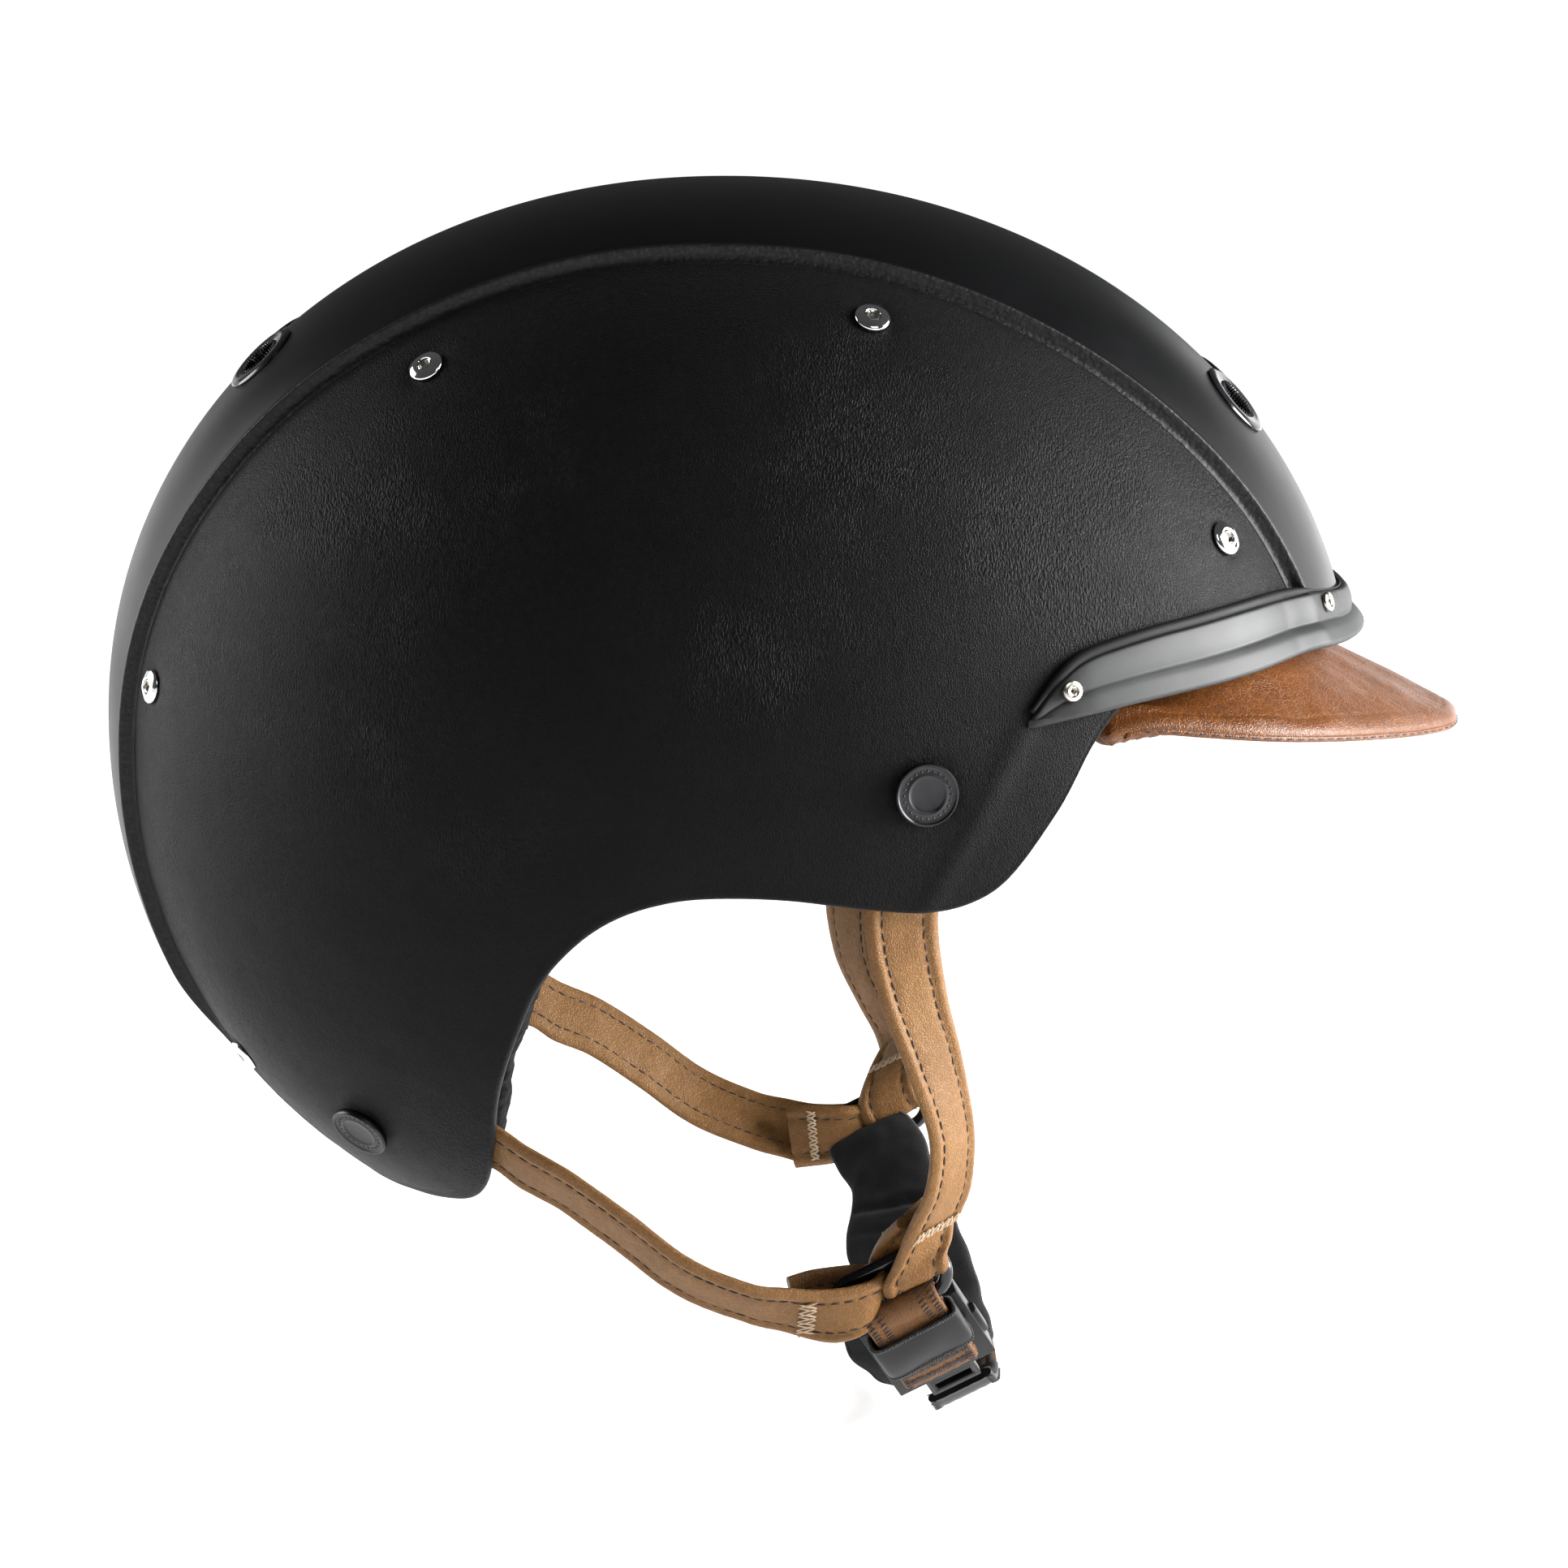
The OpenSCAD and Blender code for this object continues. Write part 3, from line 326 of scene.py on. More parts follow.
def leather_tan(name, dark, mid, light, rough=.44, grain=.06, crack=.0, spec=.3):
    m = Mat(name, mid, rough, spec=spec)
    w = m.warp(.0012, 380)
    cell = m.mapr(m.voro(1500, "DISTANCE_TO_EDGE", vec=w), 0, .25, 0, 1, True)
    big = m.mapr(m.voro(420, "DISTANCE_TO_EDGE", vec=m.warp(.004, 150)), 0, .16, 0, 1, True)
    cloud = m.noise(75, 5, .6, .6)
    h = m.math("MULTIPLY_ADD", m.noise(1100, 4, .65), .6, m.math("MULTIPLY", cell, .6))
    m.bump(h, grain)
    if crack: m.bump(big, grain * 1.6, crack)
    m.bump(m.noise(160, 3, .55), .25, .4)
    c = m.mix(m.mapr(cloud, .3, .72, 0, 1), dark, light)
    c = m.mix(.45, c, mid)
    c = m.mix(m.mapr(cell, 0, 1, .35, 0), c, tuple(v * .6 for v in dark))
    if crack: c = m.mix(m.math("MULTIPLY", m.mapr(big, 0, .8, 1, 0), crack), c, tuple(min(1, v * 1.7) for v in light))
    m.color(c)
    m.rough(m.mapr(m.noise(210, 4, .6), .3, .7, rough - .06, rough + .08))
    return m.m
def cloth(name, color, scale=1400, sheen=.6, depth=.12, rough=.9, fuzz=0.):
    m = Mat(name, color, rough, spec=.2, Sheen_Weight=sheen, Sheen_Roughness=.45)
    a = m.wave(scale, m.map(rot=(.4, .3, .6)), "X", .8, 3); b = m.wave(scale, m.map(rot=(.4, .3, .6)), "Y", .8, 3)
    m.bump(m.math("MAXIMUM", a, b), depth)
    m.bump(m.noise(900 if not fuzz else 1700, 5, .7), .08 + fuzz)
    m.color(m.mix(m.mapr(m.noise(300, 4, .65), .3, .7, 0, 1), tuple(c * .55 for c in color), tuple(c * 1.6 + .001 for c in color)))
    return m.m
def mesh_cloth(name, color):
    "thick spacer mesh: rounded cells with dark gaps and a brushed face"
    m = Mat(name, color, .95, spec=.1, Sheen_Weight=.05, Sheen_Roughness=.5)
    v = m.voro(430, "SMOOTH_F1", rand=.35, vec=m.warp(.0004, 900), smooth=.35)
    m.bump(m.mapr(v, .1, .75, 1, 0), .5)
    m.bump(m.noise(2300, 4, .75), .22)
    m.color(m.mix(m.mapr(v, .2, .75, 0, 1), tuple(c * 1.7 for c in color), tuple(c * .25 for c in color)))
    return m.m
def foam_mat():
    m = Mat("foam", (.014, .014, .0145), .62, spec=.35)
    v = m.voro(330, "SMOOTH_F1", smooth=.25); e = m.voro(330, "DISTANCE_TO_EDGE")
    m.bump(m.mapr(v, 0, .7, 1, 0), .22)
    m.bump(m.noise(1500, 3, .6), .03)
    m.color(m.mix(m.mapr(e, 0, .12, 1, 0), (.02, .02, .0205), (.006, .006, .006)))
    m.rough(m.mapr(v, 0, .7, .5, .75))
    return m.m
def thread(name, color):
    m = Mat(name, color, .7, spec=.3, Sheen_Weight=.3, Sheen_Roughness=.4)
    m.bump(m.wave(2600, m.map(rot=(.5, .6, .2)), "DIAGONAL"), .06)
    m.color(m.mix(m.noise(1200, 3, .6), tuple(c * .6 for c in color), tuple(min(1, c * 1.35) for c in color)))
    return m.m

M = {
 # the second wall material is a darker copy for the foot of the wall: painted shade at the base of the wall, while the
 # upper wall stays lighter
 "side_leather": leather_black(), "shell_black": shell_black(), "shell_wall": shell_wall(), "wall_foot_painted_shade": shell_wall("wall_foot_painted_shade", (.0010, .0010, .0011), (.0035, .0035, .0035)), "foam": foam_mat(),
 "trim": plastic("trim_plastic", (.0145, .015, .0158), .52, .012, spec=.4),
 "rubber": plastic("rubber_black", (.003, .003, .003), .6, .03, 1400, spec=.2),
 "screw": metal("screw_steel", (.62, .59, .52), .22), "chrome": metal("chrome", (.86, .87, .88), .07, .002),
 "gunmetal": metal("gunmetal", (.044, .044, .046), .32, .01), "stud": metal("steel_stud", (.5, .5, .5), .3),
 "pin": metal("pin_steel", (.55, .55, .56), .25), "grommet": plastic("grommet", (.008, .008, .009), .16, .006),
 "socket": plastic("socket_plastic", (.012, .012, .0125), .5, .03), "cradle": plastic("cradle_plastic", (.016, .016, .017), .42, .03),
 "dial": plastic("dial_rubber", (.012, .012, .012), .6, .05, 1200), "gear": plastic("gear_plastic", (.52, .5, .44), .35, .01),
 "ring": plastic("ring_wire", (.006, .006, .0065), .16, .006), "buckle": plastic("buckle_plastic", (.006, .006, .0065), .3, .01, spec=.22),
 "keeper": plastic("keeper_skin", (.005, .005, .0056), .36, .02, 900, spec=.26),
 "strap": leather_tan("strap_leather", (.134, .061, .018), (.174, .085, .026), (.214, .108, .036), .44, .11, .12, .2),
 "peak": leather_tan("peak_leather", (.071, .0205, .0042), (.108, .035, .0075), (.147, .052, .0125), .34, .075, .22, .28),
 "web": leather_tan("webbing_brown", (.105, .048, .018), (.145, .068, .026), (.19, .093, .037), .58, .10, .0, .2),
 "lining": cloth("lining_fabric", (.007, .007, .0075), 900, .10), "mesh": mesh_cloth("mesh_lining", (.0052, .0052, .0058)),
 "velvet": cloth("chin_velvet", (.0028, .0028, .0031), 1500, .08, .05, .95, .06),
 "thread_dark": thread("thread_dark", (.030, .014, .008)), "thread_pale": thread("thread_pale", (.50, .36, .24)),
 "thread_black": thread("thread_black", (.012, .012, .012)), "inner_leather": leather_tan("strap_lining", (.125, .056, .020), (.162, .076, .028), (.20, .098, .038), .55, .05),
}
def slab(B, O, I, m=0, mw=None):
    "closed solid between two grids of the same size"
    mw = m if mw is None else mw
    B.grid(O, m); B.grid(I, m)
    B.grid(np.stack([O[0], I[0]]), mw); B.grid(np.stack([O[-1], I[-1]]), mw)
    B.grid(np.stack([O[:, 0], I[:, 0]]), mw); B.grid(np.stack([O[:, -1], I[:, -1]]), mw)
    return B
def spline(pts, n):
    "smooth curve through points (k, d), n samples"
    pts = np.asarray(pts, float); k = len(pts)
    d = np.r_[0, np.cumsum(np.linalg.norm(np.diff(pts[:, :3], axis=0), axis=1))]
    T = np.column_stack([d, pts]); x = np.linspace(0, d[-1], n)
    return np.stack([her(T, x, c + 1) for c in range(pts.shape[1])], -1)
def ellipsoid(B, c, ax_, r, m=0, nu=8, nv=5):
    "small ellipsoid at c, axes ax_ (3 unit vectors), radii r"
    u = np.linspace(0, 2 * math.pi, nu, endpoint=False)[None]; v = np.linspace(-math.pi / 2, math.pi / 2, nv + 2)[1:-1, None]
    G = (np.cos(v) * np.cos(u) * r[1])[..., None] * ax_[1] + (np.cos(v) * np.sin(u) * r[2])[..., None] * ax_[2] + (np.sin(v) * r[0] + 0 * u)[..., None] * ax_[0] + c
    B.grid(G, m, cv=True)
    for R, q, f in ((G[0], c - r[0] * ax_[0], 0), (G[-1], c + r[0] * ax_[0], 1)):
        j = np.arange(nu); T = np.stack([j, (j + 1) % nu, np.full(nu, nu)], -1)
        B.add(np.vstack([R, q]), T=T[:, ::-1] if f else T, m=m)

# ------------------------------------------------------------------ side shells
def dimple(p):
    "how far the skin is pulled in round the rivets and caps"
    o = np.zeros(p.shape[:-1])
    for T, r0, d in ((rivet_at, 3.9, .55), (cap_at, 6.9, .5)):
        for q in T:
            r = np.linalg.norm(p - P(q[0], q[1]), axis=-1)
            o -= d * np.exp(-np.maximum(r - r0, 0) / 1.3)
    return o
def side_shell(name):
    nu, nm = 330, 96
    u = np.linspace(0, 1, nu)
    a = her(side_T, u, 1); g = her(groove_T, a) + .1 - 5.5 * (1 - sm(17, 21, a))
    q = C(a, -g)
    pt = np.degrees(np.arctan2(-q[:, 1], q[:, 0])); pb = her(side_T, u, 2); zb = her(edge_T, pb)
    L = np.linalg.norm(np.diff(S(pt[:, None] + (pb - pt)[:, None] * np.linspace(0, 1, 24), q[:, 2:] + (zb - q[:, 2])[:, None] * np.linspace(0, 1, 24)), axis=1), axis=-1).sum(1)
    ed = np.array([2.6, 1.9, 1.35, .95, .62, .36, .17, .05, 0])
    v = np.empty((nu, nm))
    for i in range(nu):
        e = np.minimum(ed / L[i], .5 * (1 - np.arange(len(ed)) / len(ed)))
        v[i] = np.r_[np.linspace(0, 1 - e[0], nm - len(ed), endpoint=False), 1 - e]
    f = pt[:, None] + (pb - pt)[:, None] * v; z = q[:, 2:] + (zb - q[:, 2])[:, None] * v
    base = P(f, z); n = nrm(base)
    dist = (1 - v) * L[:, None]; R = 1.5
    off = -(R - np.sqrt(np.maximum(R * R - np.maximum(R - dist, 0)**2, 0)))
    # pressed line beside the edge, as where the skin is turned over the rim
    off -= .16 * np.exp(-((dist - 3.4) / .7)**2)
    off += dimple(base)
    # soft ridge from the tip of the trim down to the front strap, and a few slack waves
    zz = np.clip(-base[..., 2] / 39, -.2, 1.15); fl = 55.2 + 10.8 * zz
    off += .55 * np.exp(-((f - fl) * 1.9 / 3.2)**2) * sm(-3, 3, -base[..., 2]) * (1 - sm(36, 44, -base[..., 2]))
    off += .10 * waves(base * [1, 1, 1.6], 46, 16, 4) + .035 * waves(base, 13, 24, 9)
    off = np.minimum(off, .7)
    O = base + n * off[..., None]; I = base - n * 2.5
    I[:, -1] = (base - n * 2.4)[:, -1]
    B = slab(Build(), O, I)
    o = B.mesh(name, [M["side_leather"]], sharp=50)
    return o
sr = side_shell("side_skin_right")
done(sr, "helmet", "side_leather", "side_shell_right")
sl = mirrored(sr, "side_skin_left"); done(sl, "helmet", "side_leather", "side_shell_left")

# ------------------------------------------------------------------ centre shell
def center():
    na = 430
    t = np.linspace(0, 1, na); a = 9.3 + (228.5 - 9.3) * t
    a = np.sort(np.r_[a, np.linspace(12.5, 18.5, 40)]); na = len(a)
    s = np.maximum((a - 14.1) * 2.45, 0); R = 4.6
    g = her(groove_T, a) - np.where(s < R, R - np.sqrt(np.maximum(R * R - (R - s)**2, 0)), 0)
    # rounded corners at the nape end
    s2 = (228.5 - a) * 2.0; g = g - np.where(s2 < 6, 6 - np.sqrt(np.maximum(36 - (6 - s2)**2, 0)), 0)
    # cross profile from the middle outwards: distance inside the groove, offset as part of the rise
    prof = np.array([[1.62, 1.0, 0], [1.40, 1.035, .02], [1.18, 1.03, .02], [1.0, .985, 0], [.86, .90, 0], [.75, .80, 0], [.64, .68, 0], [.53, .54, 0], [.40, .41, 0],
                     [.24, .29, 0], [.04, .19, 0], [-.24, .115, 0], [-.56, .065, 0], [-.92, .03, 0], [-1.0, -.06, 0]])
    c = np.linspace(0, 1, 40)[:-1]; c = np.r_[c * .9, .9 + .1 * np.linspace(0, 1, 8)[:-1]]
    rise = raise_(a)
    Y = []; F = []; wall = []
    for w in c: Y.append((g - 1.62) * w); F.append(rise); wall.append(0)
    for d, k, b in prof: Y.append(g - d); F.append(rise * k + b * (k > 1)); wall.append(1)
    Y = np.stack(Y, 1); F = np.stack(F, 1); F[:, len(c):] += .10 * waves(np.stack([a[:, None] * 2.3 + 0 * Y[:, len(c):], 3 * F[:, len(c):], 0 * Y[:, len(c):]], -1), 1.1, 22, 3) * (np.arange(len(prof)) > 3) * (np.arange(len(prof)) < 13) * .8
    half = C(a[:, None] + 0 * Y, -Y, F)
    O = np.concatenate([half[:, ::-1], (half * [1, -1, 1])[:, 1:]], 1)
    Yi = np.minimum(Y, (g - .4)[:, None]); hi = C(a[:, None] + 0 * Yi, -Yi, -2.5)
    I = np.concatenate([hi[:, ::-1], (hi * [1, -1, 1])[:, 1:]], 1)
    B = Build(); nw = len(prof) - 2; n = O.shape[1]
    # the lowest wall rows, next to the groove, take the darker wall copy: painted shade at the foot of the wall
    lo = 6
    B.grid(O[:, :lo + 1], 2); B.grid(O[:, lo:nw + 1], 1); B.grid(O[:, nw:n - nw], 0); B.grid(O[:, n - nw - 1:n - lo], 1); B.grid(O[:, n - lo - 1:], 2); B.grid(I, 0)
    for k in (0, -1):
        B.grid(np.stack([O[k], I[k]]), 1)
        B.grid(np.stack([O[:, k], I[:, k]]), 1)
    o = B.mesh("centre_strip", [M["shell_black"], M["shell_wall"], M["wall_foot_painted_shade"]], sharp=50)
    cs = []
    for v in vent_at:
        for sg in (-1, 1):
            p = C(v[0], sg * v[1]); n_ = nrm(p)
            cs.append(cyl_obj(p, n_, 6.2, 22, 64))
    return cut(o, cs)
cstrip = center(); done(cstrip, "helmet", "shell_black", "center_shell")

# ------------------------------------------------------------------ trim, gasket
def io_(f): return .3 + (LIFT + .1) * (1 - sm(18.5, 23, np.abs(f)))
def trim():
    n = 320; f = np.linspace(-55.2, 55.2, n); g = np.abs(f)
    tab = 1 - sm(12.6, 14.4, g)
    zu = her(trim_up_T, g) + .1 * tab; zl = her(trim_lo_T, g) - .5 * sm(20, 30, g); i = io_(f) - .55 * (1 - sm(16, 24, g)); tab = tab * .42
    l = 1.3 * (1 - sm(14, 52, g)); k = (1 - .45 * sm(48, 55.2, g)) * np.sqrt(np.clip(1 - ((g - 53.6) / 1.62)**2 * (g > 53.6), .02, 1))
    mid = (zu + zl) / 2; h = (zu - zl) * (.35 + .65 * np.sqrt(np.clip(1 - ((g - 52.4) / 2.82)**2 * (g > 52.4), .02, 1))); zl = mid - h / 2; zu = mid + h / 2
    T = [(zl + .25, i - .1), (zl - .05, i + 1.2 * k), (zl + .0, i + (2.2 + l) * k), (zl + .35, i + (2.85 + l) * k), (zl + .9, i + (3.1 + l) * k), (zl + 1.45, i + (3.05 + l) * k),
         (zl + h * .30, i + (2.85 + .62 * l) * k), (zl + h * .40, i + (2.45 + .3 * l) * k), (zl + h * .455, i + (2.12 + .1 * l) * k), (zl + h * .49, i + (2.02 + .5 * tab) * k), (zl + h * .53, i + (2.1 + .9 * tab) * k),
         (zl + h * .62, i + (2.26 + 1.0 * tab) * k), (zl + h * .76, i + (2.32 + 1.0 * tab) * k), (zl + h * .88, i + (2.2 + .95 * tab) * k), (zu - .45, i + (1.98 + .9 * tab) * k), (zu - .12, i + (1.55 + .7 * tab) * k), (zu, i + (.9 + .3 * tab) * k), (zu - .05, i - .1)]
    Z = np.stack([a for a, b in T], 1); F = np.stack([b for a, b in T], 1)
    idx = np.arange(len(T)); x = np.linspace(0, len(T) - 1, 64)
    Zs = np.stack([her(np.column_stack([idx, Z[r]]), x) for r in range(n)]); Fs = np.stack([her(np.column_stack([idx, F[r]]), x) for r in range(n)])
    G = S(f[:, None] + 0 * Zs, Zs, Fs)
    back = S(f[:, None] + 0 * Zs[:, :10], Zs[:, -1:] + (Zs[:, :1] - Zs[:, -1:]) * np.linspace(0, 1, 12)[1:-1], np.broadcast_to(i[:, None] - .1, (n, 10)))
    o = Build().tube(np.concatenate([G, back], 1)).mesh("brow_trim_lip", [M["trim"]], sharp=38)
    return o
done(trim(), "helmet", "trim_plastic", "brow_trim")
def gasket():
    n = 300; f = np.linspace(-54.9, 54.9, n); g = np.abs(f)
    r = .22 + 1.0 * sm(16.5, 22, g) * (1 - .7 * sm(50, 54.9, g)); zu = her(trim_up_T, g) + .45 + .55 * sm(15, 22, g)
    i = io_(f); c = S(f, zu, i + .35 + .2 * sm(16, 22, g)); d = unit(np.gradient(c, axis=0)); q = nrm(P(f, zu)); u = unit(np.cross(d, q)); q = np.cross(u, d)
    t = np.linspace(0, 2 * math.pi, 16, endpoint=False)
    G = c[:, None] + r[:, None, None] * (np.cos(t)[None, :, None] * q[:, None] + 1.1 * np.sin(t)[None, :, None] * u[:, None])
    return Build().tube(G).mesh("gasket_bead", [M["rubber"]])
done(gasket(), "helmet", "rubber_black", "trim_gasket")

# ------------------------------------------------------------------ peak
brim_T = [[0,169,-13.9],[5,166.8,-13.8],[10,160.5,-13],[16,153.3,-11.3],[24,145,-8.9],[31,137,-6.7],[37,128.2,-4.6],[41.5,121.6,-3.4],[45,116.6,-4.9]]
root_T = [[0,129,1.9],[14,129.5,1.5],[24,127,0.4],[34,119,-1.4],[40,112,-2.8],[45,107,-5.2]]
def peak():
    n, m = 240, 60
    f = np.linspace(-45, 45, n)[:, None]; v = np.linspace(0, 1, m)[None]; v = 1 - (1 - v)**1.35
    g = np.abs(f)
    r = her(root_T, g, 1) + (her(brim_T, g, 1) - her(root_T, g, 1)) * v
    z = her(root_T, g, 2) + (her(brim_T, g, 2) - her(root_T, g, 2)) * v
    W = (her(brim_T, g, 1) - her(root_T, g, 1)) + 0 * v
    p = np.stack([r * np.cos(np.radians(f)), -r * np.sin(np.radians(f)), z], -1)
    ed = (1 - v) * W; es = (45 - g) * 1.95 + 0 * v; e = np.minimum(ed, es)
    rnd = np.sqrt(np.clip(1 - (1 - np.minimum(e / 2.4, 1))**2, 0, 1))
    h = (2.05 - .55 * v**3) * (.12 + .88 * rnd)
    # seam groove beside the edge, soft puckers running to it
    groove = .32 * np.exp(-((ed - 3.4) / .42)**2) * (es > 3)
    puck = .13 * np.sin(f * 5.1 + 2 * np.sin(f * .7)) * np.exp(-((ed - 5) / 3.)**2)
    bulge = .30 * waves(p, 21, 18, 21) + .05 * waves(p, 7, 26, 22)
    tuck = (her(trim_lo_T, g) - 1.0 - (her(root_T, g, 2) + 1.9)) * (1 - v)**2.6 * (1 - .25 * sm(38, 45, g))
    fold = 2.1 * np.exp(-(((ed - 3.4 - (45 - g) * .35) / 1.6)**2)) * sm(36, 43.5, g) - .9 * np.exp(-(((ed - 6.6 - (45 - g) * .5) / .9)**2)) * sm(37, 43.5, g)
    up = h + .9 * (1 - (2 * v - 1)**2) * np.cos(np.radians(f * 1.6)) - groove * .35 + puck * .3 + bulge * sm(0, 3, e) + tuck + fold
    lo = -h * .95 + .12 * waves(p, 11, 18, 25) * sm(0, 3, e) + .25 * np.exp(-((ed - 3.4) / .5)**2) - 1.25 * np.exp(-((ed - 3.6) / 2.6)**2) * sm(36.5, 42.5, g) * (1 + .3 * np.sin(es * 2.7 + ed * .8)) * sm(0, 2.5, e)
    O = p + np.stack([0 * up, 0 * up, up], -1); I = p + np.stack([0 * lo, 0 * lo, lo], -1)
    B = slab(Build(), O[:, ::-1], I[:, ::-1])
    # stitched flange under the edge, and its stitches
    ff = np.linspace(-43.5, 43.5, 300); gg = np.abs(ff)
    rb = her(brim_T, gg, 1) - 1.4; zb = her(brim_T, gg, 2); cx = np.stack([rb * np.cos(np.radians(ff)), -rb * np.sin(np.radians(ff)), zb], -1)
    outw = unit(np.stack([np.cos(np.radians(ff)), -np.sin(np.radians(ff)), 0 * ff], -1))
    sec = np.array([[1.3, -.3], [1.55, -.6], [1.6, -1.2], [1.35, -1.6], [.9, -1.65], [.65, -1.3], [.55, -.7], [.5, -.3]])
    G = cx[:, None] + sec[None, :, 0, None] * outw[:, None] + np.stack([0 * sec[:, 1], 0 * sec[:, 1], sec[:, 1]], -1)[None]
    B.tube(G)
    for j in range(4, 296, 4):
        t = unit(cx[j + 1] - cx[j - 1]); ellipsoid(B, cx[j] + 1.66 * outw[j] - [0, 0, .95], (t, outw[j], np.array([0, 0, 1.])), (1.05, .2, .2), 1)
    return B.mesh("peak_skin", [M["peak"], M["thread_dark"]], sharp=60)
done(peak(), "peak", "peak_leather", "peak_leather")

# ------------------------------------------------------------------ carried-over nodes
def give(node, key):
    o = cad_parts[node]; o.data.materials.clear(); o.data.materials.append(M[key])
    o.data.polygons.foreach_set("material_index", np.zeros(len(o.data.polygons), np.int32))
for n_, k_ in (("strap_studs", "stud"), ("cradle_pin", "pin"),
               ("adjuster_dial", "dial"), ("drive_pinion", "gear"), ("strap_ring_right", "ring"), ("strap_ring_left", "ring"),
               ):
    give(n_, k_)

def lathe(B, p, n, prof, seg=96, m=0, rot=0.):
    "turned shape: profile of (radius, height) about the axis n at p"
    n = unit(np.asarray(n, float)); a = unit(np.cross(n, [0, 0, 1.] if abs(n[2]) < .9 else [1., 0, 0])); b = np.cross(n, a)
    t = np.linspace(0, 2 * math.pi, seg, endpoint=False) + rot; R = np.cos(t)[:, None] * a + np.sin(t)[:, None] * b
    prof = np.asarray(prof, float)
    B.grid(p + prof[:, None, 0, None] * R[None] + prof[:, None, 1, None] * n, m, cv=True)
def sides_of(q): return [P(q[0], q[1]), P(q[0], q[1]) * [1, -1, 1]]
def rivets():
    B = Build()
    for q in rivet_at:
        for p in sides_of(q):
            n = nrm(p)
            lathe(B, p, n, [(0, .25), (1.15, .25), (1.5, .28), (1.56, .45), (1.6, 1.0), (1.72, 1.16), (1.95, 1.2), (2.2, 1.16), (3.35, .82), (3.7, .62), (3.85, .4), (3.88, .15), (3.8, -.1), (3.5, -.25), (2.0, -.25), (2.0, -2.5), (0, -2.5)])
            # hexagonal sleeve inside the hole
            lathe(B, p, n, [(1.25, .27), (1.22, .9), (1.5, 1.05), (1.62, 1.0), (1.6, .3)], seg=6, m=1)
    return B.mesh("rivet_rings", [M["chrome"], M["screw"]], sharp=32)
done(rivets(), "helmet", "chrome", "shell_rivets")
def caps():
    B = Build()
    for q in cap_at:
        for p in sides_of(q):
            n = nrm(p)
            lathe(B, p, n, [(0, 1.72), (2.0, 1.74), (3.3, 1.80), (3.75, 1.86), (3.95, 1.98), (4.15, 2.02), (4.35, 1.98), (4.55, 1.9), (5.7, 1.92), (6.05, 1.98), (6.2, 2.16), (6.4, 2.26), (6.6, 2.22), (6.75, 2.05), (6.82, 1.7), (6.8, 1.0), (6.6, .6), (6.2, .3), (5.0, .2), (2.0, .2), (2.0, -.4), (0, -.4)])
            a = unit(np.cross(n, [0, 0, 1.])); b = np.cross(n, a)
            for k in range(24):
                t = 2 * math.pi * k / 24; R = math.cos(t) * a + math.sin(t) * b
                ellipsoid(B, p + 5.1 * R + 1.93 * n, (unit(np.cross(n, R)), R, n), (.30, .30, .13), 0)
    return B.mesh("snap_caps", [M["gunmetal"]], sharp=35)
done(caps(), "helmet", "gunmetal", "strap_snap_caps")
def screws():
    B = Build()
    for i, q in enumerate(screw_at):
        for p in sides_of(q):
            n = nrm(p); top = 3 if i == 0 else 5.45
            lathe(B, p + n * (top - .2), n, [(1.05, .35), (1.12, 1.0), (1.3, 1.12), (1.75, 1.1), (2.1, .92), (2.28, .6), (2.3, .25), (2.1, .0), (1.25, -.1), (1.2, -2.6), (0, -2.6)])
            lathe(B, p + n * (top - .2), n, [(0, .36), (.72, .36), (.76, .9), (1.06, 1.0), (1.14, .95), (1.08, .36)], seg=6)
            # small dark disc at the bottom of the hex recess: painted shade in the hole
            lathe(B, p + n * (top - .2), n, [(0, .5), (.26, .5), (.28, .35)], seg=24, m=1)
    return B.mesh("trim_screw_heads", [M["screw"], M["grommet"]], sharp=32)
done(screws(), "helmet", "screw_steel", "trim_screws")
def grommets():
    B = Build()
    for v in vent_at:
        for sg in (-1, 1):
            c = C(v[0], sg * v[1]); n = nrm(c); p = c + n * LIFT
            lathe(B, p, n, [(5.0, -5.2), (5.0, .2), (5.12, .5), (5.4, .7), (5.75, .78), (6.3, .8), (6.7, .88), (7.1, .94), (7.6, .9), (8.3, .74), (8.75, .52), (8.98, .3), (9.0, .12), (8.9, -.15), (6.1, -.1), (6.1, -5.2), (5.0, -5.2)])
            a = unit(np.cross(n, [0, 0, 1.])); b = np.cross(n, a)
            for k in range(40):
                t = 2 * math.pi * k / 40; R = math.cos(t) * a + math.sin(t) * b; T = np.cross(n, R)
                ellipsoid(B, p + 4.75 * R - .2 * n, (n, T, R), (1.3, .24, .45), 0, nu=6, nv=3)
            # inner screen far down in the bore
            lathe(B, p, n, [(0, -4.3), (4.9, -4.3), (4.95, -4.6), (0, -4.6)], m=1)
    return B.mesh("vent_rings", [M["grommet"], M["mesh"]], sharp=35)
done(grommets(), "helmet", "grommet", "vent_grommets")

# ------------------------------------------------------------------ frames of the hanging chin strap
XH, YH, ZH = np.array([.891, 0, .454]), np.array([0, 1., 0]), np.array([-.454, 0, .891])
RC = np.array([37., 0, -131])
def hg(x, y, z): return RC + x * XH + y * YH + z * ZH
NO = np.array([39.5, -70, -135.9]); YN = np.array([-.2732, .7986, .5362]); ZN = np.array([-.3626, -.6018, .7116])
def nr(x, y, z): return NO + x * XH + y * YN + z * ZN
def wh(a, b, c): return a * XH + b * YH + c * ZH

